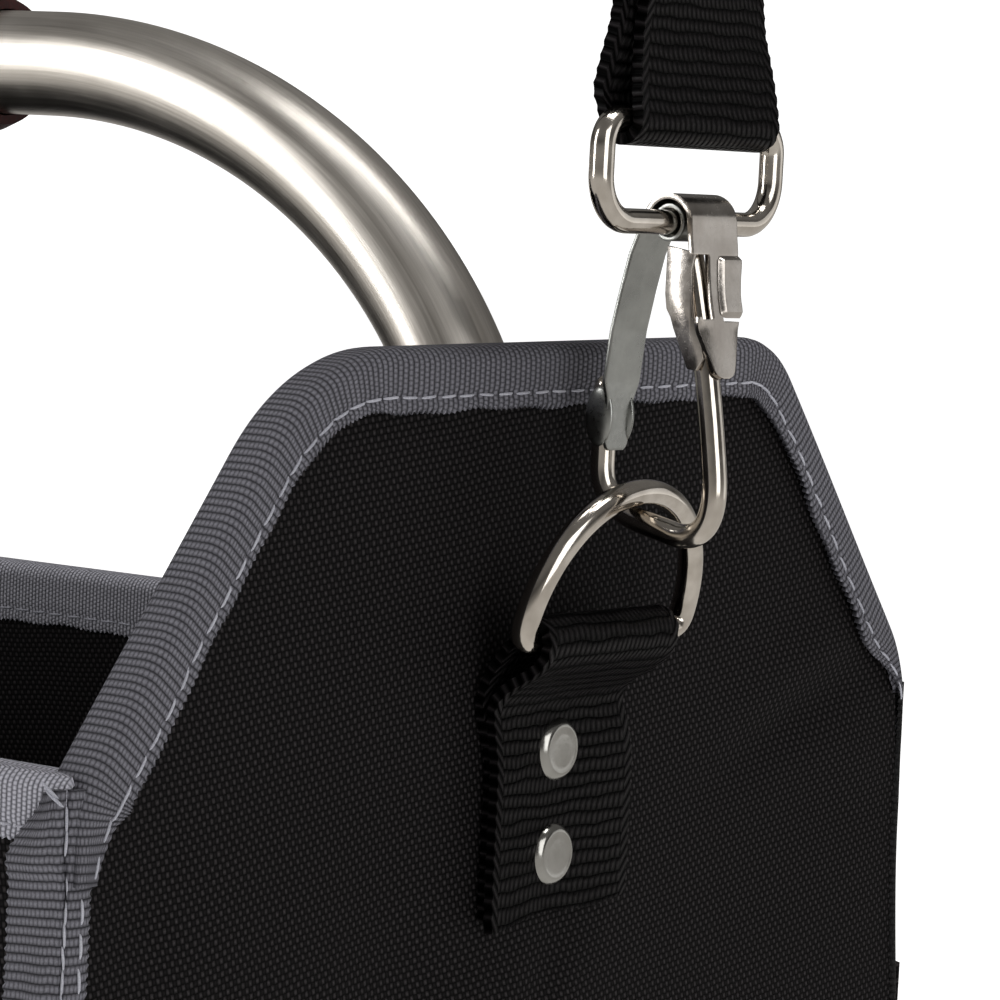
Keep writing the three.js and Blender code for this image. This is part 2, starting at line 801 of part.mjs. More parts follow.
function linkRing() {
  const half = linkWidth / 2;
  const [low, top] = [linkCorner, linkTopCorner];
  const path = new THREE.Path();
  path.moveTo(-half + low, linkLowZ);
  path.absarc(half - low, linkLowZ + low, low, -Math.PI / 2, 0);
  path.absarc(half - top, linkHighZ - top, top, 0, Math.PI / 2);
  path.absarc(-half + top, linkHighZ - top, top, Math.PI / 2, Math.PI);
  path.absarc(-half + low, linkLowZ + low, low, Math.PI, 1.5 * Math.PI);
  const points = evenPoints(path.getPoints(3)).map((p) => new THREE.Vector3(linkX, p.x, p.y));
  return wire(points, linkWire, 8, true);
}

// Snap hook. Its parts are drawn about the ring bar at 0, 0 and then moved to it.

function atHook(geometry) {
  geometry.translate(linkX, 0, linkLowZ);
  return geometry;
}

function hookPath() {
  const path = new THREE.Path();
  path.moveTo(1.2, -4.4);
  path.quadraticCurveTo(5.4, -20, 7.8, -38);
  path.quadraticCurveTo(9.3, -49.4, 1.4, -48.6);
  path.lineTo(-5.6, -47);
  path.quadraticCurveTo(-noseOut, -45, -noseOut, -38.5);
  path.lineTo(-noseOut, -noseDrop);
  return path;
}

function hookBody() {
  const points = evenPoints(hookPath().getPoints(6)).map((p) => new THREE.Vector3(p.x, 0, p.y));
  const nose = new THREE.SphereGeometry(hookWire - 0.02, 8, 6);
  nose.rotateX(Math.PI / 2);
  nose.translate(-noseOut, 0, -noseDrop);
  return atHook(unite(wire(points, hookWire, 8), nose));
}

// Puts a piece drawn in (across, along, out) into the tilted channel round the hook's spine.
function inChannel(geometry) {
  const tilt = THREE.MathUtils.degToRad(channelTilt);
  const across = new THREE.Vector3(0, 1, 0);
  const along = new THREE.Vector3(Math.sin(tilt), 0, -Math.cos(tilt));
  const out = new THREE.Vector3(Math.cos(tilt), 0, Math.sin(tilt));
  const frame = new THREE.Matrix4().makeBasis(across, along, out.negate());
  frame.setPosition(channelX, 0, channelZ);
  return outwardAgain(geometry.applyMatrix4(frame));
}

function clampShape(points) {
  const shape = new THREE.Shape();
  points.forEach(([x, y], k) => (k ? shape.lineTo(x, y) : shape.moveTo(x, y)));
  return shape;
}

function clamp() {
  const front = hookWire + fitGap;
  const half = clampWidth / 2;
  const curl = steps(clampCurlEnd, 0, 9).map((a) => {
    const turn = THREE.MathUtils.degToRad(a);
    return new THREE.Vector2(clampCurl * Math.cos(turn), clampCurl * Math.sin(turn));
  });
  const tilt = THREE.MathUtils.degToRad(channelTilt);
  const middle = front + clampSheet / 2;
  const joint = new THREE.Vector2(
    channelX + middle * Math.cos(tilt), channelZ + middle * Math.sin(tilt),
  );
  const top = ribbon([...curl, new THREE.Vector2(clampCurl + 0.1, -3), joint], clampSheet, () => clampWidth);
  const sheet = (shape, depth, out) => {
    const plate = new THREE.ExtrudeGeometry(shape, { depth, bevelEnabled: false, curveSegments: 6 });
    plate.translate(0, 0, -out - depth);
    return inChannel(plate);
  };
  const shieldOutline = new THREE.Shape();
  shieldOutline.moveTo(-half, clampLower);
  shieldOutline.lineTo(half, clampLower);
  shieldOutline.lineTo(half, 11);
  shieldOutline.lineTo(3.6, 16.4);
  shieldOutline.quadraticCurveTo(2.8, shieldLength, 1.4, shieldLength);
  shieldOutline.lineTo(-1.4, shieldLength);
  shieldOutline.quadraticCurveTo(-2.8, shieldLength, -3.6, 16.4);
  shieldOutline.lineTo(-half, 11);
  const shield = sheet(shieldOutline, clampSheet, front);
  const neckOutline = clampShape([
    [-clampFlange, -clampUpper], [half, -clampUpper], [half, clampUpper], [-clampFlange, clampUpper],
  ]);
  const neck = sheet(neckOutline, clampSheet, front);
  const wing = clampShape([[3.2, 0], [half, 0], [half, 9.2], [4.4, 9.2], [3.4, 8.2]]);
  const flange = clampShape([
    [-clampFlange, -1.4], [-front, -1.4], [-front, flangeLength], [-clampFlange, flangeLength],
  ]);
  return atHook(unite(top, shield, neck, sheet(wing, clampSheet, front), sheet(flange, 6.2, front - 5.4)));
}

function gate() {
  const point = (x, z) => new THREE.Vector2(x, z);
  const arc = steps(gateCurlStart, gateCurlEnd, 8).map((a) => {
    const turn = THREE.MathUtils.degToRad(a);
    return point(gateCurl * Math.cos(turn), gateCurl * Math.sin(turn));
  });
  const leave = arc[arc.length - 1];
  const tipX = -noseOut + hookWire + fitGap + gateSheet / 2;
  const bow = new THREE.CubicBezierCurve(
    leave, point(-7.6, -7.2), point(tipX - 0.6, -14), point(tipX, -noseDrop),
  );
  const line = [...arc, ...bow.getPoints(8).slice(1), point(tipX, -gateTipDrop)];
  const width = (t) => (t < 0.45 ? gateWidth : gateWidth + ((gateTipWidth - gateWidth) * (t - 0.45)) / 0.55);
  const strip = ribbon(line, gateSheet, width);
  const ear = new THREE.Shape();
  ear.absellipse(tipX - 2.1, -noseDrop - 4.6, 2.5, 4.7, 0, 2 * Math.PI);
  const earY = hookWire + fitGap + gateSheet / 2 + 0.05;
  return atHook(unite(strip, plateY(ear, gateSheet, earY, 8), plateY(ear, gateSheet, -earY, 8)));
}

// Shoulder strap

// The strap's middle line in X and Z, from the sewn tail at the right to the free tail at the left.
function strapLine() {
  const point = (x, z) => new THREE.Vector2(x, z);
  const fold = (side, from, to) => steps(from, to, 8).map((a) => point(
    side * (linkX + foldRadius * Math.cos(a)), linkHighZ + foldRadius * Math.sin(a),
  ));
  const outX = strapX;
  const inX = strapX - strapThick - fitGap;
  const settle = linkHighZ + 14;
  const arc = steps(0, Math.PI, 24).map((a) => point(outX * Math.cos(a), strapTurnZ + outX * Math.sin(a)));
  return [
    point(inX, linkHighZ + strapTail), point(inX, settle),
    ...fold(1, Math.PI, 2 * Math.PI),
    point(outX, settle), point(outX, linkHighZ + 60),
    ...arc,
    point(-outX, linkHighZ + 60), point(-outX, settle),
    ...fold(-1, 2 * Math.PI, Math.PI),
    point(-inX, settle), point(-inX + sliderBar + strapThick, settle + 26),
    point(-inX + sliderBar + strapThick, linkHighZ + strapSideTail),
  ];
}

function strapWebbing() {
  return ribbon(strapLine(), strapThick, () => webWidth);
}

function strapSlider() {
  const halfY = webWidth / 2 + 1.2;
  const wall = 3.4;
  const outX = -strapX - strapThick / 2 - fitGap;
  const inX = -strapX + strapThick / 2 + fitGap;
  const low = linkHighZ + sliderHeight - sliderLength / 2;
  const high = low + sliderLength;
  const railIn = inX + sliderBar;
  const cheek = (y) => block(outX - sliderBar, railIn, y - wall / 2, y + wall / 2, low, high);
  const bar = (x, z0, z1) => block(x, x + sliderBar, -halfY - wall / 2, halfY + wall / 2, z0, z1);
  return unite(
    cheek(halfY + wall / 2), cheek(-halfY - wall / 2),
    bar(outX - sliderBar, low, low + 5), bar(outX - sliderBar, high - 5, high),
    block(inX, inX + sliderBar - 2 * fitGap, -halfY - 1, halfY + 1, low + 11, low + 16),
  );
}

function padArc(inner, outer, width, from, to, count) {
  const point = (r, a) => [r * Math.cos(a), strapTurnZ + r * Math.sin(a)];
  const rings = steps(from, to, count).map((a) => {
    const [x0, z0] = point(inner, a);
    const [x1, z1] = point(outer, a);
    const half = width(a) / 2;
    return [
      new THREE.Vector3(x1, -half, z1), new THREE.Vector3(x1, half, z1),
      new THREE.Vector3(x0, half, z0), new THREE.Vector3(x0, -half, z0),
    ];
  });
  return loft(rings);
}

const padTopRadius = strapX - strapThick / 2 - 2 * fitGap;

function shoulderPad() {
  const sweep = THREE.MathUtils.degToRad(padSweep) / 2;
  const middle = Math.PI / 2;
  const width = (a) => {
    const t = Math.abs(a - middle) / sweep;
    const round = Math.sqrt(Math.max(1 - (Math.max(t - 0.8, 0) / 0.2) ** 2, 0));
    return padWidth * (0.72 + 0.28 * round);
  };
  return padArc(padTopRadius - padThick, padTopRadius, width, middle - sweep, middle + sweep, 22);
}

function padLoop(side) {
  const seat = padTopRadius + fitGap;
  const over = strapX + strapThick / 2 + fitGap;
  const half = webWidth / 2 + 0.5;
  const outside = half + padLoopThick;
  const reach = padLoopWidth / 2 / strapX;
  const middle = Math.PI / 2 - side * THREE.MathUtils.degToRad(padSweep) * 0.32;
  const [from, to] = [middle - reach, middle + reach];
  const band = padArc(seat, over + padLoopThick, () => 2 * outside, from, to, 4);
  const room = padArc(seat - 1, over, () => 2 * half, from - 0.05, to + 0.05, 4);
  return cut(band, room);
}

// Zipped front pocket

// A strip over a long wall, between two distances from its face.
function wallStrip(side, low, high, near, far, reach) {
  const place = (x, z, lift) => new THREE.Vector3(x, side * (wallFace(x, z) + lift), z);
  const columns = [-reach, ...(low < bulgeTop ? between(wallColumns, -reach, reach) : []), reach];
  const rows = [low, ...between(wallRows, low, high), high];
  return slab(columns, rows, (x, z) => place(x, z, far), (x, z) => place(x, z, near));
}

const tapeFar = fitGap + zipTapeThick;

function zipTapeUpper() {
  return wallStrip(-1, zipHeight + fitGap / 2, rimTapeLow - fitGap, fitGap, tapeFar, zipReach);
}

function zipTapeLower() {
  return wallStrip(-1, zipHeight - zipTapeDrop, zipHeight - fitGap / 2, fitGap, tapeFar, zipReach);
}

function zipTeeth() {
  const near = tapeFar + fitGap;
  const place = (x, z, lift) => new THREE.Vector3(x, -wallFace(x, z) - lift, z);
  const half = chainWidth / 2;
  const rings = [-zipReach + 4, zipReach - 4].map((x) => [
    place(x, zipHeight - half, near), place(x, zipHeight - half * 0.8, near + chainThick * 0.7),
    place(x, zipHeight, near + chainThick), place(x, zipHeight + half * 0.8, near + chainThick * 0.7),
    place(x, zipHeight + half, near),
  ]);
  return loft(rings);
}

function zipStop(side) {
  const depth = wallFace(0, zipHeight) + tapeFar + fitGap;
  const half = chainWidth / 2 + 0.4;
  const [inner, outer] = [zipReach - 3.6, zipReach - 1];
  const x = side > 0 ? [inner, outer] : [-outer, -inner];
  return block(...x, -depth - chainThick, -depth, zipHeight - half, zipHeight + half);
}

const sliderY = -wallFace(0, zipHeight) - tapeFar - fitGap - zipSliderThick / 2;
const bridgeY = sliderY - zipSliderThick / 2 - bridgeStand;

function zipSlider() {
  const half = zipSliderLength / 2;
  const wide = zipSliderWidth / 2;
  const room = chainWidth / 2 + fitGap;
  const body = new THREE.Shape();
  body.moveTo(-half, -wide * 0.75);
  body.quadraticCurveTo(-half * 0.2, -wide * 1.1, half, -wide * 0.8);
  body.lineTo(half, wide * 0.8);
  body.quadraticCurveTo(-half * 0.2, wide * 1.1, -half, wide * 0.75);
  const shell = plateY(body, zipSliderThick, 0, 6);
  const slot = block(-half - 1, half + 1, 1 - zipSliderThick / 2, zipSliderThick, -room, room);
  const standY = bridgeY - sliderY;
  const posts = [-bridgeReach, bridgeReach].map((x) => block(
    x - bridgeBar, x + bridgeBar, standY - bridgeBar, 0.5 - zipSliderThick / 2, -bridgeBar, bridgeBar,
  ));
  const bar = barX(bridgeBar, -bridgeReach, bridgeReach, standY, 0, 8);
  const slider = unite(cut(shell, slot), bar, ...posts);
  slider.translate(zipSliderAt, sliderY, zipHeight);
  return slider;
}

// The pull's lug turns on the slider's bridge bar.
function zipPull() {
  const wide = pullWidth / 2;
  const shoulder = 1.4 - pullLug;
  const outline = new THREE.Shape();
  outline.moveTo(-wide * 0.6, shoulder - 0.9);
  outline.lineTo(wide * 0.6, shoulder - 0.9);
  outline.lineTo(wide, -pullLength * 0.3);
  outline.lineTo(wide, 3 - pullLength);
  outline.quadraticCurveTo(wide, -pullLength, 0, -pullLength);
  outline.quadraticCurveTo(-wide, -pullLength, -wide, 3 - pullLength);
  outline.lineTo(-wide, -pullLength * 0.3);
  const lug = barX(pullLug, -0.9, 0.9, 0, 0, 14);
  const eye = barX(bridgeBar + fitGap, -2, 2, 0, 0, 10);
  const pull = cut(unite(plateY(outline, pullThick, 0, 5), lug), eye);
  pull.translate(zipSliderAt, bridgeY, zipHeight);
  return pull;
}

function frontPocket() {
  return wallStrip(-1, pocketFloor, bulgeTop, fitGap, fitGap + pocketThick, zipReach);
}

// Open back pocket

const backReach = faceX - baseCorner - fitGap;

// The panel is sewn down at its sides and foot and stands open at the middle of its top.
function backPocketFace(x, z) {
  const across = Math.cos((Math.PI * x) / (2 * backReach)) ** 0.6;
  const open = backPocketGape * across * smooth((z - pocketFloor) / backPocketRise);
  return rimWidth / 2 + sideFlare + backPocketEdge + open;
}

function pocketSlab(reach, low, high, depth, back) {
  const columns = [-reach, ...between(wallColumns, -reach, reach), reach];
  const rows = [low, ...between(wallRows, low, high), high];
  const panel = (x, z) => new THREE.Vector3(x, backPocketFace(x, Math.min(z, backPocketTop)) - depth, z);
  const wall = (x, z) => new THREE.Vector3(x, wallFace(x, Math.min(z, backPocketTop)) + back, z);
  return slab(columns, rows, panel, wall);
}

function backPocket() {
  const shell = pocketSlab(backReach, pocketFloor, backPocketTop, 0, tapeThick + 2 * fitGap);
  const [reach, floor] = [backReach - backPocketWall, pocketFloor + backPocketWall];
  const room = pocketSlab(reach, floor, backPocketTop + 8, backPocketWall, -wallThick);
  return cut(shell, room);
}

function backPocketBinding() {
  const reach = backReach - 4;
  const top = backPocketTop;
  const columns = [-reach, ...between(wallColumns, -reach, reach), reach];
  const rings = columns.map((x) => tapeRing(tapeWidth, (n, sheet, lift) => {
    const face = backPocketFace(x, top + Math.min(n, 0));
    const inner = face - backPocketWall - tapeSlack - lift;
    return new THREE.Vector3(x, sheet === 'out' ? face + tapeSlack + lift : inner, top + n + tapeSlack);
  }));
  return loft(rings);
}

// Assembly

const tote = new THREE.Group();

function add(parent, name, geometry, finish) {
  const shown = geometry.index ? geometry.toNonIndexed() : geometry;
  shown.computeVertexNormals();
  const mesh = new THREE.Mesh(shown, new THREE.MeshStandardMaterial(finish));
  mesh.name = name;
  parent.add(mesh);
}

function addBase() {
  add(tote, 'base_panel', basePanel(), black);
  add(tote, 'base_board', baseBoard(), greyBoard);
  footPlaces.forEach(({ name, x, y }) => add(tote, name, baseFoot(x, y), blackPlastic));
  add(tote, 'base_binding', baseBinding(), greyTape);
}

function addWalls() {
  add(tote, 'front_wall', longWall(-1), black);
  add(tote, 'back_wall', longWall(1), black);
  add(tote, 'front_rim_binding', rimBinding(-1), greyTape);
  add(tote, 'back_rim_binding', rimBinding(1), greyTape);
  add(tote, 'front_right_corner_tape', cornerTape(1, -1), greyTape);
  add(tote, 'front_left_corner_tape', cornerTape(-1, -1), greyTape);
  add(tote, 'back_right_corner_tape', cornerTape(1, 1), greyTape);
  add(tote, 'back_left_corner_tape', cornerTape(-1, 1), greyTape);
}

function addPockets() {
  add(tote, 'front_pocket', frontPocket(), black);
  add(tote, 'zip_tape_upper', zipTapeUpper(), blackWeb);
  add(tote, 'zip_tape_lower', zipTapeLower(), blackWeb);
  add(tote, 'zip_teeth', zipTeeth(), blackPlastic);
  add(tote, 'zip_right_stop', zipStop(1), nickel);
  add(tote, 'zip_left_stop', zipStop(-1), nickel);
  add(tote, 'zip_slider', zipSlider(), nickel);
  add(tote, 'zip_pull', zipPull(), nickel);
  add(tote, 'back_pocket', backPocket(), black);
  add(tote, 'back_pocket_binding', backPocketBinding(), greyTape);
}

function addHandle() {
  add(tote, 'handle_tube', handleTube(), brushedSteel);
  add(tote, 'handle_grip', handleGrip(), gripFoam);
}

// The left end is the right one turned half round.
function addEnd(side) {
  const end = new THREE.Group();
  end.rotation.z = side === 'right' ? 0 : Math.PI;
  add(end, `${side}_end_panel`, endPanel(), black);
  add(end, `${side}_end_binding`, endBinding(), greyTape);
  add(end, `${side}_handle_sleeve`, handleSleeve(), black);
  add(end, `${side}_tab`, tab(), blackWeb);
  Object.entries(rivetPlaces).forEach(([place, z]) => add(end, `${side}_${place}_rivet`, rivet(z), nickel));
  add(end, `${side}_d_ring`, dRing(), nickel);
  add(end, `${side}_link_ring`, linkRing(), nickel);
  add(end, `${side}_hook_body`, hookBody(), nickel);
  add(end, `${side}_hook_clamp`, clamp(), nickel);
  add(end, `${side}_hook_gate`, gate(), springSteel);
  tote.add(end);
}

function addStrap() {
  add(tote, 'strap_webbing', strapWebbing(), blackWeb);
  add(tote, 'strap_slider', strapSlider(), blackPlastic);
  add(tote, 'shoulder_pad', shoulderPad(), black);
  add(tote, 'right_pad_loop', padLoop(1), blackWeb);
  add(tote, 'left_pad_loop', padLoop(-1), blackWeb);
}

addBase();
addWalls();
addPockets();
addHandle();
addEnd('right');
addEnd('left');
addStrap();

export default tote;
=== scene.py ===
# %% [markdown]
# # A tool tote with a tubular handle, built piece by piece
#
# The tote is an open box of padded cloth panels. Grey tape binds its edges, a bent steel
# tube carries it, and a webbing strap clips to a D-ring at each end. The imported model
# gives every piece its place, so each Blender piece is made where it belongs, in metres,
# and rides on the body that carries it.

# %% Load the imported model
import json
import math

import bpy
import numpy as np
from mathutils import Matrix, Vector, noise

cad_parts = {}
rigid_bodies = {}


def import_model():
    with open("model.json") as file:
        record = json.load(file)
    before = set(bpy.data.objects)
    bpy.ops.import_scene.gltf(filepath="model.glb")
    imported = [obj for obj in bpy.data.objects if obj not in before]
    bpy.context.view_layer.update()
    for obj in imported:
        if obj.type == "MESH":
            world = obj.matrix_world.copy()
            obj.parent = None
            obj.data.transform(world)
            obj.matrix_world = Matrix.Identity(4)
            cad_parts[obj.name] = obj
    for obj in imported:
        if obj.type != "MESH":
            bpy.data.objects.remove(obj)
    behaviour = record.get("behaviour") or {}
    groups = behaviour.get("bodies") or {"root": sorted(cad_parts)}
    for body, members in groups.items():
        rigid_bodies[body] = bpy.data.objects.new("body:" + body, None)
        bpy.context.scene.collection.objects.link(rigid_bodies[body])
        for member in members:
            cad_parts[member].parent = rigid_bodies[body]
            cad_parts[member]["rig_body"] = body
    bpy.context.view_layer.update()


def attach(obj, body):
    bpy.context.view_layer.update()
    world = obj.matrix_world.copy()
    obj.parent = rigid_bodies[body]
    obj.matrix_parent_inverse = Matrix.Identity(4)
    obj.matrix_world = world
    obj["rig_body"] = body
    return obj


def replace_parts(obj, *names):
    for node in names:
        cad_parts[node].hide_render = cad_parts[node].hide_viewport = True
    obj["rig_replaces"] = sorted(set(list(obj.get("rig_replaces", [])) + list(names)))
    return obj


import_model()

# %% [markdown]
# ## The sizes that pieces share
#
# The tote's lengths below are in millimetres, because that is how a bag maker cuts cloth.
# They become metres only when a mesh is made. The formulas give the face of a long wall and
# of an end panel at any place, so that tape, stitches and pockets can lie exactly on them.

# %% Sizes in millimetres
MM = 0.001
RIM_HEIGHT = 200.0
RIM_WIDTH = 222.0
SIDE_FLARE = 5.0
FLARE_TOP = 175.0
FLARE_DROP = 60.0
END_X = 200.0
FACE_X = 196.5
WALL_THICK = 6.0
END_THICK = 4.0
WALL_BULGE = 5.0
END_BULGE = 4.0
PANEL_FLOOR = 9.3
BULGE_FLOOR = 18.0
BULGE_TOP = 171.3
TAPE_WIDTH = 10.5
END_TAPE_WIDTH = 8.3
TAPE_THICK = 1.2
EDGE_INSET = 1.5
FIT_GAP = 0.3
TAB_BOTTOM = 169.0
END_REACH = 190.3
ZIP_REACH = 178.6
ZIP_HEIGHT = 183.6
LEG_X = 185.0
TUBE_TOP = 301.2
TUBE_BEND_ALONG = 98.9
TUBE_BEND_DOWN = 81.8
TUBE_RADIUS = 9.0
LEG_FOOT = 12.6
PEAK_TOP = 260.0
WEB_WIDTH = 38.0
WEB_ROW = 2.15


# %% Formulas for the faces of the panels
def ease(t):
    t = np.clip(t, 0.0, 1.0)
    return t * t * (3 - 2 * t)


def swell(z, floor, top):
    t = np.clip((z - floor) / (top - floor), 0.0, 1.0)
    return np.sin(np.pi * t) ** 2


def half_width(z):
    """Half the width of the bag, up to its rim."""
    return RIM_WIDTH / 2 + SIDE_FLARE * ease((FLARE_TOP - z) / FLARE_DROP)


def wall_face(x, z):
    """How far a long wall's face stands from the middle of the bag."""
    puff = WALL_BULGE * np.cos(np.pi * x / (2 * END_X)) * swell(z, BULGE_FLOOR, BULGE_TOP)
    return half_width(z) + puff


def even_line(line, step):
    """Even points along a line in a plane, the directions to its left and the distance run."""
    lengths = np.concatenate([[0], np.cumsum(np.linalg.norm(np.diff(line, axis=0), axis=1))])
    run = np.linspace(0, lengths[-1], max(2, int(round(lengths[-1] / step)) + 1))
    points = np.stack([np.interp(run, lengths, line[:, k]) for k in (0, 1)], axis=1)
    tangent = np.gradient(points, axis=0)
    tangent /= np.linalg.norm(tangent, axis=1, keepdims=True)
    return points, np.stack([-tangent[:, 1], tangent[:, 0]], axis=1), run


def rounded(corners, arc_points=24):
    """A line through (y, z, radius) corners, each one rounded by its radius."""
    line = [np.array(corners[0][:2])]
    for before, here, after in zip(corners, corners[1:], corners[2:]):
        corner = np.array(here[:2])
        back = np.array(before[:2]) - corner
        front = np.array(after[:2]) - corner
        back /= np.linalg.norm(back)
        front /= np.linalg.norm(front)
        half_angle = math.acos(float(back @ front)) / 2
        reach = here[2] / math.tan(half_angle)
        inwards = (back + front) / np.linalg.norm(back + front)
        middle = corner + inwards * here[2] / math.sin(half_angle)
        start = corner + back * reach - middle
        end = corner + front * reach - middle
        sweep = math.pi - 2 * half_angle
        for t in np.linspace(0, 1, arc_points):
            turned = math.sin((1 - t) * sweep) * start + math.sin(t * sweep) * end
            line.append(middle + turned / math.sin(sweep))
    line.append(np.array(corners[-1][:2]))
    return np.array(line)


END_CORNERS = [
    (-111.0, 150.0, 0), (-111.0, 197.4, 15), (-62.9, PEAK_TOP, 38),
    (60.9, PEAK_TOP, 19), (110.6, 202.6, 24), (111.0, 150.0, 0),
]
END_OUTLINE = rounded(END_CORNERS)
TOP_START = int(np.argmax(END_OUTLINE[:, 1] > PEAK_TOP - 0.01))
TOP_END = len(END_OUTLINE) - 1 - int(np.argmax(END_OUTLINE[::-1, 1] > PEAK_TOP - 0.01))


def end_reach_at(z, side):
    """How far the end panel reaches to its front (side -1) or back (side 1) at a height."""
    if side < 0:
        above = -np.interp(z, END_OUTLINE[:TOP_START + 1, 1], END_OUTLINE[:TOP_START + 1, 0])
    else:
        above = np.interp(z, END_OUTLINE[TOP_END:, 1][::-1], END_OUTLINE[TOP_END:, 0][::-1])
    return np.where(z < FLARE_TOP, half_width(z), above)


def tilted(y, z):
    """The panel's level top really climbs a little towards the back."""
    return z + 0.0145 * (y + 3) * ease((z - 205) / 50)


def end_crease(y, z):
    """The soft dents and folds of an end panel's cloth, in millimetres outwards."""
    low = -1.5 * np.exp(-(((y + 34) / 13) ** 2) - ((z - 160 + 0.5 * (y + 34)) / 24) ** 2)
    under = 1.3 * np.exp(-(((y - 2) / 17) ** 2) - ((z - 152) / 10) ** 2)
    fold = -1.2 * np.exp(-(((y - 4 - 0.4 * (z - 160)) / 5) ** 2) - ((z - 150) / 15) ** 2)
    side = -1.5 * np.exp(-(((y - 78) / 24) ** 2) - ((z - 191 - 0.30 * (y - 66)) / 5) ** 2)
    ridge = 1.3 * np.exp(-(((y - 80) / 24) ** 2) - ((z - 201 - 0.28 * (y - 66)) / 6) ** 2)
    ripple = 0.5 * np.exp(-(((y - 92) / 15) ** 2)) * np.sin((z + 0.35 * y) / 3.4)
    ripple = ripple * ease((z - 160) / 20) * ease((208 - z) / 20)
    front = -0.9 * np.exp(-(((y + 96) / 9) ** 2) - ((z - 178) / 16) ** 2)
    roll = 0.5 * np.sin(y / 17.0 + 0.8) * np.sin(z / 23.0 + 0.4)
    return low + under + fold + side + ridge + ripple + front + roll


def end_face(y, z):
    """How far out an end panel's face stands at a place on it."""
    reach = np.where(np.asarray(y) < 0, end_reach_at(z, -1), end_reach_at(z, 1))
    u = np.clip(y / reach, -1, 1)
    edge = reach * (1 - np.abs(u))
    full = np.cos(np.pi * u / 2) * END_BULGE * swell(z, BULGE_FLOOR, TAB_BOTTOM - 4)
    calm = ease(edge / 14) * ease((258 - z) / 20)
    return FACE_X + full + end_crease(y, z) * calm


print("end panel outline:", len(END_OUTLINE), "points")

# %% [markdown]
# ## A camera where the photographer stood
#
# A long lens a good half metre away flattens the end of the bag, and the picture leans by
# about three degrees. Position, lens and lean were fitted to edges whose sizes are known,
# so the camera needs no shift. Its axes are worked out here from those few angles.

# %% Camera
VIEW_TURN = math.radians(36.183)
VIEW_RISE = math.radians(4.501)
VIEW_ROLL = math.radians(2.925)
LENS_PIXELS = 4263.8
IMAGE_PIXELS = 1000
SENSOR_WIDTH = 36
VIEW_DISTANCE = 679.8
AIM_POINT = (END_X, 0, 194.24)
AIM_ACROSS, AIM_UPWARD = -9.29, 40.9
level = math.cos(VIEW_RISE)
ahead = Vector((-math.sin(VIEW_TURN) * level, math.cos(VIEW_TURN) * level, -math.sin(VIEW_RISE)))
right = Vector((math.cos(VIEW_TURN), math.sin(VIEW_TURN), 0))
up = right.cross(ahead)
across = math.cos(VIEW_ROLL) * right + math.sin(VIEW_ROLL) * up
upward = -math.sin(VIEW_ROLL) * right + math.cos(VIEW_ROLL) * up
looked_at = Vector(AIM_POINT) + AIM_ACROSS * across + AIM_UPWARD * upward
bpy.ops.object.camera_add(location=(looked_at - ahead * VIEW_DISTANCE) * MM)
camera = bpy.context.object
camera.name = "photo_camera"
camera.rotation_euler = Matrix((across, upward, -ahead)).transposed().to_euler()
camera.data.sensor_width = SENSOR_WIDTH
camera.data.lens = SENSOR_WIDTH * LENS_PIXELS / IMAGE_PIXELS
camera.data.clip_start = 0.05
camera.data.clip_end = 60
bpy.context.scene.camera = camera
print("camera at", [round(v, 3) for v in camera.location])

# %% [markdown]
# ## Floor, sweep and soft light
#
# The photograph has a plain white background. A wide pale floor runs into a low round
# wall that stands far off on every side, so the background is white from all views. Large
# soft lamps give the long highlights in the steel. Metal that sees white everywhere looks
# flat, so the mirror rays don't meet the backdrop: they see a dim room that is pale grey
# below, darkest just above eye level, and bright only where the lamps stand.


# %% Studio
def plain_stage_finish(name, colour, glow):
    finish = bpy.data.materials.new(name)
    finish.use_nodes = True
    shader = finish.node_tree.nodes["Principled BSDF"]
    shader.inputs["Base Color"].default_value = (*colour, 1)
    shader.inputs["Roughness"].default_value = 0.9
    shader.inputs["Specular IOR Level"].default_value = 0.05
    shader.inputs["Emission Color"].default_value = (1, 1, 1, 1)
    shader.inputs["Emission Strength"].default_value = glow
    return finish


STAGE_RADIUS = 9
SWEEP_HEIGHT = 2.2
SWEEP_MIDDLE = 1.09
FLOOR_Z = -0.0005
bpy.ops.mesh.primitive_circle_add(
    vertices=96, radius=STAGE_RADIUS, fill_type="NGON", location=(0, 0, FLOOR_Z))
floor = bpy.context.object
floor.name = "studio_floor"
floor.data.materials.append(plain_stage_finish("floor_white", (0.5, 0.5, 0.5), 1.0))
bpy.ops.mesh.primitive_cylinder_add(
    vertices=96, radius=STAGE_RADIUS, depth=SWEEP_HEIGHT, end_fill_type="NOTHING",
    location=(0, 0, SWEEP_MIDDLE))
sweep = bpy.context.object
sweep.name = "studio_sweep"
sweep.data.materials.append(plain_stage_finish("sweep_white", (0.1, 0.1, 0.1), 1.15))
for backdrop in (floor, sweep):
    backdrop.visible_glossy = False
sweep.visible_diffuse = False


def soft_lamp(name, place, look_at, width, height, watts):
    """A rectangular lamp that lights and mirrors but isn't seen itself."""
    bpy.ops.object.light_add(type="AREA", location=place)
    lamp = bpy.context.object
    lamp.name = name
    lamp.data.shape = "RECTANGLE"
    lamp.data.size = width
    lamp.data.size_y = height
    lamp.data.energy = watts
    lamp.rotation_euler = (Vector(look_at) - Vector(place)).to_track_quat("-Z", "Y").to_euler()
    lamp.visible_camera = False
    return lamp


soft_lamp("lamp_left", (-1.1, -1.6, 0.85), (0.1, 0, 0.3), 0.4, 1.6, 20)
soft_lamp("lamp_right", (1.9, -0.6, 0.8), (0.15, 0, 0.3), 1.1, 1.5, 13)
soft_lamp("lamp_top", (0.5, 0.1, 2.0), (0.1, 0, 0.2), 0.5, 1.4, 20)
soft_lamp("lamp_back", (1.5, 1.9, 0.45), (0.2, 0, 0.3), 1.3, 1.0, 2.6)

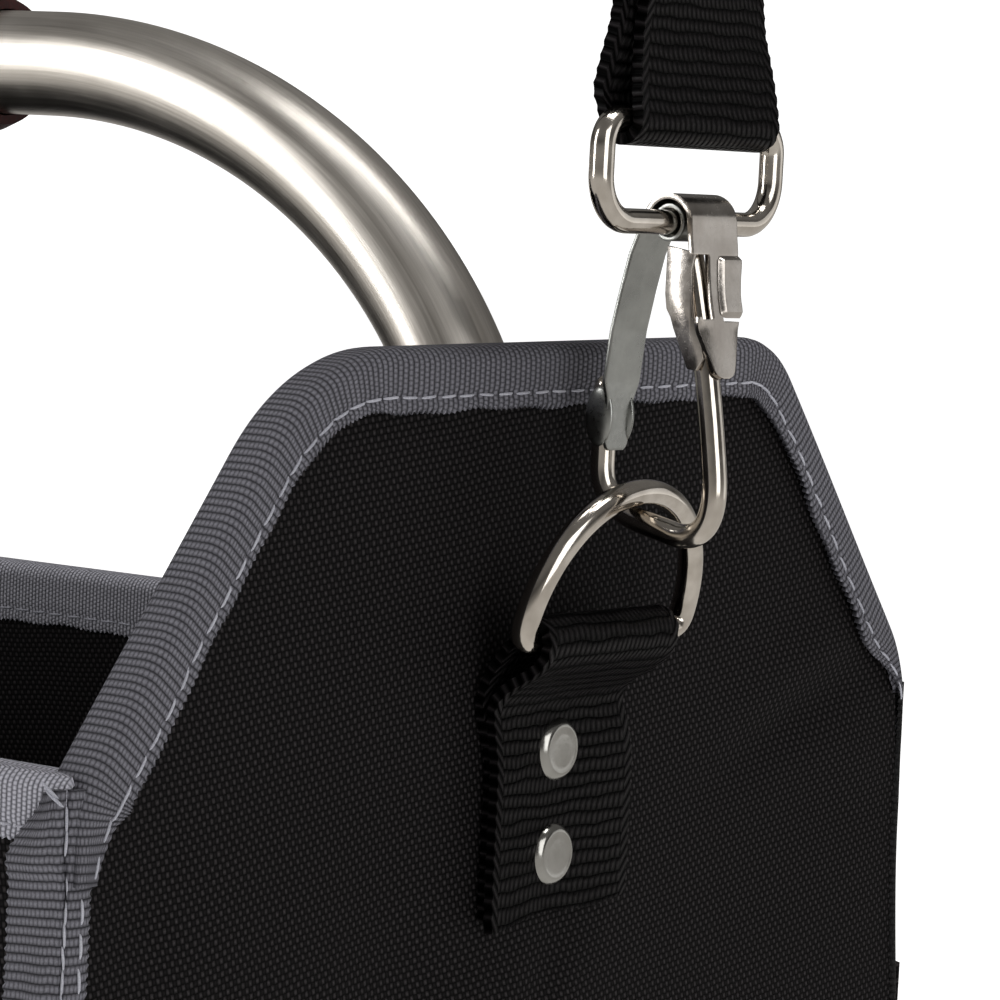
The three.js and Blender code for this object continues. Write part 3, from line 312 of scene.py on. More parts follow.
# %% What the metal mirrors
studio_room = bpy.data.worlds.new("studio_room")
bpy.context.scene.world = studio_room
studio_room.use_nodes = True
room_tree = studio_room.node_tree
direction = room_tree.nodes.new("ShaderNodeTexCoord")
parts = room_tree.nodes.new("ShaderNodeSeparateXYZ")
ramp = room_tree.nodes.new("ShaderNodeValToRGB")
rise = room_tree.nodes.new("ShaderNodeMapRange")
rise.inputs["From Min"].default_value = -1.0
room_tree.links.new(direction.outputs["Generated"], parts.inputs[0])
room_tree.links.new(parts.outputs["Z"], rise.inputs["Value"])
room_tree.links.new(rise.outputs[0], ramp.inputs[0])
room_tree.links.new(ramp.outputs[0], room_tree.nodes["Background"].inputs["Color"])
ramp.color_ramp.elements[0].position = 0.1
ramp.color_ramp.elements[0].color = (0.66, 0.645, 0.62, 1)
ramp.color_ramp.elements[1].position = 0.75
ramp.color_ramp.elements[1].color = (0.16, 0.156, 0.152, 1)
for position, grey in ((0.42, 0.55), (0.5, 0.24), (0.6, 0.07)):
    stop = ramp.color_ramp.elements.new(position)
    stop.color = (grey, grey * 0.97, grey * 0.93, 1)
bpy.context.scene.view_settings.view_transform = "Standard"
print("studio ready")

# %% [markdown]
# ## A short way to write finishes
#
# A Blender material is a net of small nodes. Here one class wraps a socket, so a height
# or a mask is written as plain arithmetic and the Math nodes appear by themselves. The
# other class is one finish: it adds any node by its type and joins what is handed to it.


# %% Writing node maths
class Signal:
    """A number, colour or direction that a node gives."""

    def __init__(self, finish, socket):
        self.finish = finish
        self.socket = socket

    def __add__(self, other):
        return self.finish.maths("ADD", self, other)

    __radd__ = __add__

    def __mul__(self, other):
        return self.finish.maths("MULTIPLY", self, other)

    __rmul__ = __mul__

    def __sub__(self, other):
        return self.finish.maths("SUBTRACT", self, other)

    def __rsub__(self, other):
        return self.finish.maths("SUBTRACT", other, self)

    def __truediv__(self, other):
        return self.finish.maths("DIVIDE", self, other)

    def __pow__(self, other):
        return self.finish.maths("POWER", self, other)

    def __gt__(self, other):
        return self.finish.maths("GREATER_THAN", self, other)


class Finish:
    """One material: a shader and the nodes that vary it."""

    def __init__(self, name, colour, roughness, metallic=0.0, **sockets):
        self.material = bpy.data.materials.new(name)
        self.material.use_nodes = True
        self.tree = self.material.node_tree
        self.shader = self.tree.nodes["Principled BSDF"]
        self.shader.inputs["Base Color"].default_value = (*colour, 1)
        self.shader.inputs["Roughness"].default_value = roughness
        self.shader.inputs["Metallic"].default_value = metallic
        for socket, value in sockets.items():
            self.shader.inputs[socket.replace("_", " ")].default_value = value

    def node(self, kind, settings=None, inputs=None, output=0):
        made = self.tree.nodes.new(kind)
        for key, value in (settings or {}).items():
            setattr(made, key, value)
        for key, value in (inputs or {}).items():
            self.feed(made.inputs[key], value)
        return Signal(self, made.outputs[output])

    def feed(self, socket, value):
        if isinstance(value, Signal):
            self.tree.links.new(value.socket, socket)
        elif socket.type == "RGBA" and len(value) == 3:
            socket.default_value = (*value, 1)
        else:
            socket.default_value = value

    def maths(self, operation, *items, clamp=False):
        settings = {"operation": operation, "use_clamp": clamp}
        return self.node("ShaderNodeMath", settings, dict(enumerate(items)))

    def set(self, **sockets):
        for socket, value in sockets.items():
            self.feed(self.shader.inputs[socket.replace("_", " ")], value)

    def place(self):
        """The Object coordinates, in metres."""
        return self.node("ShaderNodeTexCoord", output="Object")

    def cloth(self):
        """Across and along the cloth, in millimetres, from the piece's own UV map."""
        uv = self.node("ShaderNodeUVMap", {"uv_map": "cloth"})
        split = self.node("ShaderNodeSeparateXYZ", inputs={0: uv})
        return split, Signal(self, split.socket.node.outputs["Y"])

    def point(self, x, y, z=0.0):
        return self.node("ShaderNodeCombineXYZ", inputs={0: x, 1: y, 2: z})

    def noise(self, vector, scale, detail=2.0, roughness=0.5, distortion=0.0):
        inputs = {"Vector": vector, "Scale": scale, "Detail": detail}
        inputs |= {"Roughness": roughness, "Distortion": distortion}
        return self.node("ShaderNodeTexNoise", inputs=inputs, output="Fac")

    def ramp(self, value, *stops):
        """Maps a number along the straight line between two (place, value) stops."""
        made = self.node("ShaderNodeMapRange", {"clamp": True}, {"Value": value})
        (low, low_value), (high, high_value) = stops
        limits = {"From Min": low, "From Max": high, "To Min": low_value, "To Max": high_value}
        for key, number in limits.items():
            made.socket.node.inputs[key].default_value = number
        return made

    def blend(self, factor, first, second):
        made = self.tree.nodes.new("ShaderNodeMix")
        made.data_type = "RGBA"
        self.feed(made.inputs[0], factor)
        self.feed(made.inputs[6], first)
        self.feed(made.inputs[7], second)
        return Signal(self, made.outputs[2])

    def bump(self, height, strength, depth):
        """Turns a height from 0 to 1 into a tilt of the surface; depth is in metres."""
        inputs = {"Height": height, "Strength": strength, "Distance": depth}
        self.set(Normal=self.node("ShaderNodeBump", inputs=inputs))


# %% [markdown]
# ## Cloth finishes
#
# Close up, bag cloth is a plain weave: each thread shows as a bright bead where it rises
# over the one it crosses, like the squares of a chessboard. The product of two sine waves
# gives just that. Binding tape is ribbed across its width, and webbing is woven from
# thick strands in rows. In all three the bead's brightness is light painted into the
# colour: a painted highlight on the tops of beads, ribs and strands, and painted shade in
# the hollows between them; the same heights also drive the bump. All three follow the
# cloth's own UV map, which is in millimetres.


# %% Black bag cloth
def bag_cloth(name, dark, light, depth, pitch):
    finish = Finish(name, dark, 0.6, **{"Specular_IOR_Level": 0.045})
    u, v = finish.cloth()
    drift = finish.noise(finish.point(u, v), 0.05, 2.0)
    slant = (u + v * 0.22 + drift * 1.2) * (math.pi / pitch[0])
    level = (v - u * 0.1 + drift * 0.9) * (math.pi / pitch[1])
    over = finish.maths("SINE", slant) * finish.maths("SINE", level)
    bead = finish.maths("MAXIMUM", over, 0.0) ** 0.85
    under = finish.maths("MAXIMUM", over * -1.0, 0.0) * 0.22
    fibre = finish.noise(finish.point(u * 3.0, v * 1.4), 1.7, 3.0)
    height = bead + under
    # Painted highlight and shade: the colour runs from dark in the hollows to light on the bead
    # tops, so the weave's glints and shade are painted in.
    tone = finish.maths("MULTIPLY", height, fibre * 1.3 + 0.2, clamp=True)
    finish.set(Base_Color=finish.blend(tone, dark, light), Roughness=0.7 - bead * 0.2)
    finish.bump(height + fibre * 0.25, 1.0, depth)
    return finish


# Dark is the painted shade between the beads, light the painted highlight on their tops.
panel_cloth = bag_cloth(
    "black_bag_cloth", (0.0012, 0.0011, 0.0011), (0.0315, 0.028, 0.029), 0.00022, (0.87, 1.0))
zip_cloth = bag_cloth(
    "black_zip_tape_cloth", (0.0014, 0.0014, 0.0014), (0.02, 0.02, 0.02), 0.00008, (0.5, 0.8))


# %% Grey binding tape
def ribbed_tape(name, dark, light, rib_pitch=1.3, bead_pitch=0.8):
    finish = Finish(name, light, 0.75, **{"Specular_IOR_Level": 0.14})
    u, v = finish.cloth()
    wander = finish.noise(finish.point(u, v), 0.03, 1.0)
    ribs_along = (v + wander * 1.6) / rib_pitch
    rib = finish.maths("ABSOLUTE", finish.maths("SINE", ribs_along * math.pi)) ** 0.8
    count = finish.maths("FLOOR", ribs_along)
    beads = (u + wander * 0.5) * (math.pi / bead_pitch) + count * (math.pi / 2)
    bead = finish.maths("ABSOLUTE", finish.maths("SINE", beads)) ** 0.6
    fuzz = finish.noise(finish.point(u * 2.0, v * 2.0), 1.6, 3.0)
    height = rib * (bead * 0.62 + 0.38)
    # Painted highlight and shade: rib and bead tops take the light colour, the valleys between ribs
    # the dark colour; fuzz and worn add random tone.
    tone = finish.maths("MULTIPLY", height, fuzz * 1.1 + 0.42, clamp=True)
    worn = finish.noise(finish.point(u, v), 0.02, 2.0) * 0.3 + 0.84
    finish.set(Base_Color=finish.blend(tone * worn, dark, light))
    finish.bump(height + fuzz * 0.2, 1.0, 0.00035)
    return finish


# For each tape, dark is the painted shade in the rib valleys and light the painted highlight on the
# ribs.
tape_weave = ribbed_tape("grey_binding_tape", (0.012, 0.012, 0.0145), (0.15, 0.1465, 0.166))
rim_weave = ribbed_tape("fine_grey_rim_tape", (0.055, 0.055, 0.063), (0.4, 0.395, 0.44), 0.95, 0.85)
black_tape = ribbed_tape("black_corner_tape", (0.0012, 0.0012, 0.0012), (0.012, 0.0115, 0.012))


# %% Black webbing
def heavy_webbing(name, dark, light, half_wide):
    finish = Finish(name, dark, 0.5, **{"Specular_IOR_Level": 0.035})
    u, v = finish.cloth()
    sway = finish.noise(finish.point(u * 0.6, v), 0.22, 2.0)
    rows_along = (v + sway * 1.6) / WEB_ROW
    row = finish.maths("ABSOLUTE", finish.maths("SINE", rows_along * math.pi)) ** 0.55
    count = finish.maths("FLOOR", rows_along)
    strands_across = (u + v * 0.2) * (math.pi / 1.42) + count * (math.pi / 2)
    strand = finish.maths("ABSOLUTE", finish.maths("SINE", strands_across))
    middle = row * (strand * 0.6 + 0.4)
    from_middle = finish.maths("ABSOLUTE", u)
    edge = from_middle > (half_wide - 1.7)
    links = (v + from_middle * 1.3) * (math.pi / WEB_ROW)
    chain = finish.maths("ABSOLUTE", finish.maths("SINE", links))
    height = middle * (1 - edge) + chain * edge
    fuzz = finish.noise(finish.point(u * 3.0, v * 1.5), 1.5, 3.0)
    # Painted highlight and shade: strand tops take the light colour as a painted glint, the gaps
    # between rows the dark colour.
    tone = finish.maths("MULTIPLY", height**2.4, fuzz * 1.5 + 0.1, clamp=True)
    finish.set(Base_Color=finish.blend(tone, dark, light), Roughness=0.52 - height * 0.24)
    finish.bump(height + fuzz * 0.18, 1.0, 0.0006)
    return finish


# Dark is the painted shade between the strands, light the painted glint on their tops.
black_webbing = heavy_webbing(
    "black_webbing_weave", (0.0002, 0.0002, 0.0002), (0.013, 0.0115, 0.012), WEB_WIDTH / 2)
print("cloth finishes:", [f.material.name for f in (panel_cloth, tape_weave, black_webbing)])

# %% [markdown]
# ## Metal and plastic finishes
#
# The tube is drawn steel: fine streaks run along it, so the noise is stretched along the
# wire's own attribute, which unrolls every bend. Plated wire is smoother and only a
# little uneven. The gate is a dull spring strip, and the grip is foam with open pores.


# %% Metals
def along_wire(finish, stretch):
    """The unrolled place on a wire, stretched along its length."""
    run = finish.node("ShaderNodeAttribute", {"attribute_name": "run"}, output="Vector")
    scale = {0: run, 1: (1.0, 1.0, stretch)}
    return finish.node("ShaderNodeVectorMath", {"operation": "MULTIPLY"}, scale)


def brushed_tube_steel():
    finish = Finish("brushed_tube_steel", (0.38, 0.35, 0.31), 0.24, 1.0)
    streaks = finish.noise(along_wire(finish, 0.012), 2.6, 4.0, 0.65)
    broad = finish.noise(along_wire(finish, 0.02), 0.35, 2.0)
    smudge = finish.noise(along_wire(finish, 0.6), 0.09, 3.0, 0.6)
    tone = finish.ramp(streaks * 0.5 + broad * 0.3 + smudge * 0.2, (0.36, 0.0), (0.64, 1.0))
    finish.set(Base_Color=finish.blend(tone, (0.56, 0.52, 0.465), (0.8, 0.755, 0.695)))
    finish.set(Roughness=finish.ramp(streaks * 0.6 + smudge * 0.4, (0.3, 0.27), (0.7, 0.46)))
    finish.bump(streaks, 0.35, 0.00006)
    return finish


def plated_wire(name, dark, light, rough):
    finish = Finish(name, light, rough, 1.0)
    drawn = finish.noise(along_wire(finish, 0.05), 1.6, 3.0, 0.6)
    cloud = finish.noise(along_wire(finish, 0.8), 0.3, 2.0)
    finish.set(Base_Color=finish.blend(finish.ramp(cloud, (0.3, 0.0), (0.7, 1.0)), dark, light))
    patchy = drawn * 0.6 + cloud * 0.4
    finish.set(Roughness=finish.ramp(patchy, (0.3, rough * 0.6), (0.7, rough * 1.6)))
    finish.bump(drawn, 0.2, 0.00004)
    return finish


def pressed_metal(name, dark, light, rough, grain=1.0):
    finish = Finish(name, light, rough, 1.0)
    place = finish.place()
    cloud = finish.noise(place, 180.0, 3.0)
    fine = finish.noise(place, 1500.0, 2.0)
    finish.set(Base_Color=finish.blend(finish.ramp(cloud, (0.3, 0.0), (0.7, 1.0)), dark, light))
    patchy = fine * 0.5 + cloud * 0.5
    finish.set(Roughness=finish.ramp(patchy, (0.3, rough * 0.7), (0.7, rough * 1.5)))
    finish.bump(fine, 0.25 * grain, 0.00005)
    return finish


tube_steel = brushed_tube_steel()
nickel_wire = plated_wire("nickel_plated_wire", (0.5, 0.455, 0.4), (0.68, 0.63, 0.565), 0.12)
nickel_sheet = pressed_metal("nickel_plated_sheet", (0.4, 0.365, 0.33), (0.54, 0.505, 0.465), 0.2)
rivet_metal = pressed_metal("nickel_rivet_metal", (0.3, 0.293, 0.272), (0.4, 0.393, 0.37), 0.17)
spring_strip = pressed_metal(
    "dull_spring_steel", (0.27, 0.275, 0.262), (0.38, 0.385, 0.365), 0.3, 0.6)


# %% Foam, plastic and board
def matt_solid(name, dark, light, rough, pore, depth):
    finish = Finish(name, light, rough, **{"Specular_IOR_Level": 0.3})
    place = finish.place()
    pores = finish.noise(place, pore, 3.0, 0.6)
    cloud = finish.noise(place, 40.0, 2.0)
    tone = finish.ramp(pores * 0.6 + cloud * 0.4, (0.35, 0.0), (0.65, 1.0))
    finish.set(Base_Color=finish.blend(tone, dark, light))
    finish.set(Roughness=finish.ramp(pores, (0.3, rough * 0.85), (0.7, min(1.0, rough * 1.15))))
    finish.bump(pores, 0.5, depth)
    return finish


grip_foam = matt_solid(
    "maroon_grip_foam", (0.012, 0.003, 0.003), (0.05, 0.012, 0.011), 0.7, 1400.0, 0.0002)
black_plastic = matt_solid(
    "black_moulded_plastic", (0.012, 0.012, 0.013), (0.022, 0.022, 0.023), 0.45, 2600.0, 0.00004)
stiff_board = matt_solid(
    "dark_base_board", (0.012, 0.012, 0.013), (0.03, 0.03, 0.031), 0.75, 900.0, 0.0001)
grey_thread = matt_solid(
    "light_grey_thread", (0.2, 0.2, 0.23), (0.42, 0.42, 0.46), 0.7, 5000.0, 0.00003)
print("finishes:", len(bpy.data.materials))

# %% [markdown]
# ## Helpers that make a piece
#
# Cloth starts as a flat grid whose points are then moved in code to where the cloth lies,
# and its UV map keeps the flat cut in millimetres. Wire is a curve with a round bevel,
# turned into a mesh. What a piece is made of, what it stands for and what it moves with
# are said once, when it is finished.


# %% Start clean, finish a piece
def clear_selection():
    if bpy.context.mode != "OBJECT":
        bpy.ops.object.mode_set(mode="OBJECT")
    bpy.ops.object.select_all(action="DESELECT")


def only(piece):
    clear_selection()
    piece.select_set(True)
    bpy.context.view_layer.objects.active = piece


def applied(piece, kind, **settings):
    """Adds a modifier with these settings and applies it."""
    only(piece)
    bpy.ops.object.modifier_add(type=kind)
    modifier = piece.modifiers[-1]
    for key, value in settings.items():
        setattr(modifier, key, value)
    bpy.ops.object.modifier_apply(modifier=modifier.name)
    return piece


def finished(piece, name, body, material, nodes=(), smooth=None):
    """Names the piece, sets its place in its mesh, smooths it and hands it to its body."""
    only(piece)
    piece.name = name
    piece.data.name = name
    bpy.ops.object.transform_apply(location=True, rotation=True, scale=True)
    if smooth is None:
        bpy.ops.object.shade_smooth()
    elif smooth > 0:
        bpy.ops.object.shade_smooth_by_angle(angle=math.radians(smooth))
    piece.data.materials.clear()
    piece.data.materials.append(material.material)
    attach(piece, body)
    if nodes:
        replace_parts(piece, *nodes)
    clear_selection()
    return piece


def left_copy(piece, name, body, nodes, change):
    """The same piece at the left end, with its own mesh moved there by the matrix change."""
    only(piece)
    bpy.ops.object.duplicate()
    other = bpy.context.object
    other.name = name
    other.data.name = name
    other.parent = None
    other.matrix_world = Matrix.Identity(4)
    other.data.transform(change)
    if change.is_negative:
        other.data.flip_normals()
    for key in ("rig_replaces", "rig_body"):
        if key in other:
            del other[key]
    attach(other, body)
    if nodes:
        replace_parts(other, *nodes)
    clear_selection()
    return other


def at_both_ends(piece, name, body, material, node, smooth=None):
    """Finishes the right end's piece and copies it to the left, turned half round the bag."""
    bodies = ("bag", "bag") if body == "bag" else (f"right_{body}", f"left_{body}")
    finished(piece, f"right_{name}", bodies[0], material, [f"right_{node}"], smooth)
    half_turn = Matrix.Rotation(math.pi, 4, "Z")
    return left_copy(piece, f"left_{name}", bodies[1], [f"left_{node}"], half_turn)


def mirrored(piece, name, body, nodes=()):
    """The left end's copy, mirrored across the middle of the bag."""
    return left_copy(piece, name, body, nodes, Matrix.Scale(-1, 4, (1, 0, 0)))


def tidied(piece, merge=True):
    """Merges points that lie on each other and turns every face outwards."""
    only(piece)
    bpy.ops.object.mode_set(mode="EDIT")
    bpy.ops.mesh.select_all(action="SELECT")
    if merge:
        bpy.ops.mesh.remove_doubles(threshold=1e-6)
    bpy.ops.mesh.normals_make_consistent(inside=False)
    bpy.ops.object.mode_set(mode="OBJECT")
    return piece


def joined(pieces):
    """Makes one object of several; the first one goes on."""
    only(pieces[0])
    for piece in pieces:
        piece.select_set(True)
    bpy.ops.object.join()
    return bpy.context.object


def new_piece(name, points, faces):
    """An object with its own mesh, from points in millimetres."""
    mesh = bpy.data.meshes.new(name)
    mesh.from_pydata((np.asarray(points) * MM).tolist(), [], faces)
    piece = bpy.data.objects.new(name, mesh)
    bpy.context.scene.collection.objects.link(piece)
    return piece


# %% Cloth from a grid
def lay_flat(mesh, across, along):
    """Gives a mesh the UV map cloth: each point's place on the flat cut, in millimetres."""
    corner = np.zeros(len(mesh.loops), int)
    mesh.loops.foreach_get("vertex_index", corner)
    while mesh.uv_layers:
        mesh.uv_layers.remove(mesh.uv_layers[0])
    layer = mesh.uv_layers.new(name="cloth")
    place = np.stack([across, along], axis=1)[corner]
    layer.data.foreach_set("uv", place.astype(np.float32).ravel())


def cloth_grid(across_faces, along_faces, lie):
    """lie(a, b) gives x, y, z, u, v in millimetres for shares a across and b along the cloth."""
    clear_selection()
    bpy.ops.mesh.primitive_grid_add(x_subdivisions=across_faces, y_subdivisions=along_faces, size=2)
    piece = bpy.context.object
    mesh = piece.data
    flat = np.zeros(len(mesh.vertices) * 3)
    mesh.vertices.foreach_get("co", flat)
    flat = flat.reshape(-1, 3)
    a = (flat[:, 0] + 1) / 2
    b = (flat[:, 1] + 1) / 2
    x, y, z, u, v = [np.broadcast_to(item, a.shape) for item in lie(a, b)]
    mesh.vertices.foreach_set("co", (np.stack([x, y, z], axis=1) * MM).ravel())
    lay_flat(mesh, u, v)
    mesh.update()
    return piece


def facing(piece, direction):
    """Turns an open sheet's faces over if they look away from direction."""
    normals = np.zeros(len(piece.data.polygons) * 3)
    piece.data.polygons.foreach_get("normal", normals)
    if (normals.reshape(-1, 3) @ np.array(direction, float)).sum() < 0:
        piece.data.flip_normals()
    return piece


def thick_cloth(piece, thick, offset=-1.0):
    return applied(piece, "SOLIDIFY", thickness=thick * MM, offset=offset, use_even_offset=True)


# %% Wire from a curve
def drawn_wire(points, radius, sides, closed=False):
    """A round wire through points in millimetres."""
    clear_selection()
    bpy.ops.curve.primitive_bezier_curve_add()
    piece = bpy.context.object
    curve = piece.data
    curve.splines.clear()
    spline = curve.splines.new("POLY")
    spline.points.add(len(points) - 1)
    flat = np.concatenate([np.array(points) * MM, np.ones((len(points), 1))], axis=1)
    spline.points.foreach_set("co", flat.ravel())
    spline.use_cyclic_u = closed
    curve.dimensions = "3D"
    curve.twist_mode = "MINIMUM"
    curve.bevel_depth = radius * MM
    curve.bevel_resolution = max(0, sides // 2 - 2)
    curve.use_fill_caps = not closed
    bpy.ops.object.convert(target="MESH")
    piece = bpy.context.object
    unroll(piece, np.array(points), closed)
    return piece


def unroll(piece, points, closed):
    """Stores each point's place round and along its wire, in millimetres, as the attribute run."""
    mesh = piece.data
    flat = np.zeros(len(mesh.vertices) * 3)
    mesh.vertices.foreach_get("co", flat)
    place = flat.reshape(-1, 3) / MM
    step = np.linalg.norm(np.diff(points, axis=0), axis=1)
    run = np.concatenate([[0], np.cumsum(step)])
    tangent = np.gradient(points, axis=0)
    tangent /= np.linalg.norm(tangent, axis=1, keepdims=True)
    centre = points - points.mean(axis=0)
    normal = np.linalg.svd(centre, full_matrices=False)[2][-1]
    near = np.argmin(((place[:, None, :] - points[None, :, :]) ** 2).sum(axis=2), axis=1)
    away = place - points[near]
    along = run[near] + (away * tangent[near]).sum(axis=1)
    side = np.cross(tangent[near], normal)
    found = np.stack([away @ normal, (away * side).sum(axis=1), along], axis=1)
    attribute = mesh.attributes.new("run", "FLOAT_VECTOR", "POINT")
    attribute.data.foreach_set("vector", found.astype(np.float32).ravel())


# %% [markdown]
# ## The bent handle
#
# The handle is one steel tube: two legs that go down inside the end panels, two round
# bends and a level top with a foam grip. A curve with a round bevel gives exactly such a
# drawn tube, and the finish's streaks then follow it through the bends.


# %% Handle tube
def tube_path():
    """One leg, its bend and half the top, then the same mirrored."""
    bend_x = LEG_X - TUBE_BEND_ALONG
    bend_z = TUBE_TOP - TUBE_BEND_DOWN
    leg = [(LEG_X, 0, z) for z in np.linspace(LEG_FOOT, bend_z, 30)]
    turn = np.radians(np.linspace(0, 90, 61))[1:]
    bend = [
        (bend_x + TUBE_BEND_ALONG * math.cos(t), 0, bend_z + TUBE_BEND_DOWN * math.sin(t))
        for t in turn
    ]
    top = [(x, 0, TUBE_TOP) for x in np.linspace(bend_x, 0, 12)[1:]]
    half = np.array(leg + bend + top)
    return np.concatenate([half, half[-2::-1] * [-1, 1, 1]])


handle_tube = drawn_wire(tube_path(), TUBE_RADIUS, 64)
finished(
    handle_tube, "steel_handle_tube", "bag", tube_steel, ["handle_tube"], smooth=40)


# %% Foam grip
def turned_about_x(profile, steps):
    """Spins a profile of (radius, x) round the X axis, at the height of the tube's top."""
    clear_selection()
    bpy.ops.mesh.primitive_circle_add(vertices=len(profile), radius=1)
    piece = bpy.context.object
    for vertex, (radius, x) in zip(piece.data.vertices, profile):
        vertex.co = Vector((x, 0, radius)) * MM
    bpy.ops.object.mode_set(mode="EDIT")
    bpy.ops.mesh.select_all(action="SELECT")
    bpy.ops.mesh.spin(steps=steps, angle=2 * math.pi, center=(0, 0, 0), axis=(1, 0, 0))
    return tidied(piece)


GRIP_HALF = 74.5
GRIP_RADIUS = 13.5
GRIP_BORE = 9.3
grip_outside = [
    (GRIP_RADIUS - 2.6 * abs(s) ** 14 + 0.12 * math.sin(s * 60), s * GRIP_HALF)
    for s in np.linspace(-1, 1, 41)
]
grip_profile = [(GRIP_BORE, -GRIP_HALF), *grip_outside, (GRIP_BORE, GRIP_HALF)]
handle_grip = turned_about_x(grip_profile, 56)
handle_grip.location = (0, 0, TUBE_TOP * MM)
finished(handle_grip, "foam_handle_grip", "bag", grip_foam, ["handle_grip"], smooth=50)
print("tube", len(handle_tube.data.polygons), "grip", len(handle_grip.data.polygons), "faces")

# %% [markdown]
# ## End panels
#
# Each end panel is cloth over a thin foam, taller than the walls, with a slanted edge on
# both sides. Its face isn't flat: it swells below the tab and dents where the tab and the
# corner pull on it. The grid's rows crowd together near the top so that the rounded
# corners come out smooth, and a wall of 4 mm is then added inwards.


# %% End panel
ROWS_TO_RIM = 0.62


def lie_end_panel(a, b):
    low = np.interp(b, [0, ROWS_TO_RIM], [PANEL_FLOOR, RIM_HEIGHT])
    turn = np.radians(np.interp(b, [ROWS_TO_RIM, 1], [90, 0]))
    high = RIM_HEIGHT + (PEAK_TOP - EDGE_INSET - RIM_HEIGHT) * np.cos(turn) ** 0.7
    z = np.where(b < ROWS_TO_RIM, low, high)
    inset = EDGE_INSET * ease((z - 180) / 20)
    front = end_reach_at(z + inset * 0.7, -1) - inset
    back = end_reach_at(z + inset * 0.7, 1) - inset
    y = -front + a * (front + back)
    return end_face(y, z), y, tilted(y, z), y, z


end_panel = facing(cloth_grid(150, 200, lie_end_panel), (1, 0, 0))
thick_cloth(end_panel, END_THICK)
finished(
    end_panel, "right_end_panel_cloth", "bag", panel_cloth, ["right_end_panel"],
    smooth=45)
other_end = mirrored(end_panel, "left_end_panel_cloth", "bag", ["left_end_panel"])
print("end panel", len(end_panel.data.polygons), "faces")

# %% [markdown]
# ## Folded binding tape
#
# A binding is a flat tape folded over a raw edge and sewn through. One function lays it:
# it walks along an edge and carries the folded section with it, flat on one side of the
# panel, round its edge and flat on the other. The selvedges are scalloped by the ribs,
# and the stitches pull small dimples into the tape.

# %% Laying tape and stitches
STITCH_PITCH = 4.9
STITCH_LENGTH = 3.9
STITCH_INSET = 2.3
RIB_PITCH = 1.36


def folded_section(thick, lift, width):
    """A tape's section over an edge: distance beyond it, depth, and place on the tape."""
    bend = min(2.6, thick / 2 + lift - 0.3)
    top = EDGE_INSET
    outer = [(n, lift) for n in np.linspace(-width, top - bend, 12)]
    turns = np.radians(np.linspace(0, 90, 6))[1:]
    outer += [(top - bend + bend * math.sin(t), lift - bend + bend * math.cos(t)) for t in turns]
    inner_depth = -(thick + lift)
    low = inner_depth + bend
    outer += [(top, d) for d in np.linspace(lift - bend, low, 4)[1:]]
    outer += [(top - bend + bend * math.cos(t), low - bend * math.sin(t)) for t in turns]
    outer += [(n, inner_depth) for n in np.linspace(top - bend, -width, 12)[1:]]
    section = np.array(outer)
    run = np.concatenate([[0], np.cumsum(np.linalg.norm(np.diff(section, axis=0), axis=1))])
    return section[:, 0], section[:, 1], run


def lay_tape(run, section, to_world):
    """to_world(station, beyond, depth) places points; station indexes the edge's points."""
    beyond, depth, place = section
    total = place[-1]

    def lie(a, b):
        station = np.round(b * (len(run) - 1)).astype(int)
        k = a * (len(place) - 1)
        n = np.interp(k, np.arange(len(place)), beyond)
        d = np.interp(k, np.arange(len(place)), depth)
        q = np.interp(k, np.arange(len(place)), place)
        s = run[station]
        from_edge = np.minimum(q, total - q)
        outwards = np.where(q < total / 2, 1.0, -1.0)
        scallop = 0.3 * np.sin(2 * np.pi * s / RIB_PITCH) * np.exp(-from_edge / 0.5)
        wave = 0.35 * np.sin(s / 7.3) * np.sin(s / 3.1 + 1) * np.exp(-from_edge / 3)
        ends = np.abs((s + STITCH_PITCH / 2) % STITCH_PITCH - STITCH_PITCH / 2)
        seam = np.exp(-(((from_edge - STITCH_INSET) / 0.8) ** 2))
        dimple = -0.2 * seam - 0.25 * seam * np.exp(-((ends / 0.9) ** 2))
        curl = -0.35 * np.exp(-from_edge / 0.5)
        n = n + (scallop + wave) * np.exp(-from_edge / 3)
        d = d + outwards * (dimple + curl)
        x, y, z = to_world(station, n, d)
        return x, y, z, q, s

    return cloth_grid(len(place) - 1, len(run) - 1, lie)


def one_stitch():
    """A short, plump thread lying along X, in millimetres, as points and faces."""
    clear_selection()
    bpy.ops.mesh.primitive_uv_sphere_add(segments=6, ring_count=6, radius=1)
    model = bpy.context.object
    points = np.array([v.co for v in model.data.vertices])
    faces = [list(p.vertices) for p in model.data.polygons]
    bpy.data.objects.remove(model)
    points = points[:, [2, 0, 1]]
    x = np.sign(points[:, 0]) * np.abs(points[:, 0]) ** 0.6 * STITCH_LENGTH / 2
    sag = -0.32 * (np.abs(x) / (STITCH_LENGTH / 2)) ** 4
    return np.stack([x, points[:, 1] * 0.26, points[:, 2] * 0.24 + sag], axis=1), faces


STITCH_POINTS, STITCH_FACES = one_stitch()


def sew_line(places, alongs, outs):
    """One object of copied stitches, each at a place, along a direction, facing out."""
    points, faces = [], []
    luck = np.random.default_rng(7)
    for place, along, out in zip(places, alongs, outs):
        along = along / np.linalg.norm(along)
        out = out - along * (out @ along)
        out /= np.linalg.norm(out)
        side = np.cross(out, along)
        tilt = luck.normal(0, 0.045) + 0.05
        direction = along * math.cos(tilt) + side * math.sin(tilt)
        basis = np.stack([direction, np.cross(out, direction), out])
        start = len(points) * len(STITCH_POINTS)
        points.append(place + STITCH_POINTS @ basis)
        faces += [[start + k for k in face] for face in STITCH_FACES]
    return tidied(new_piece("stitches", np.concatenate(points), faces), merge=False)


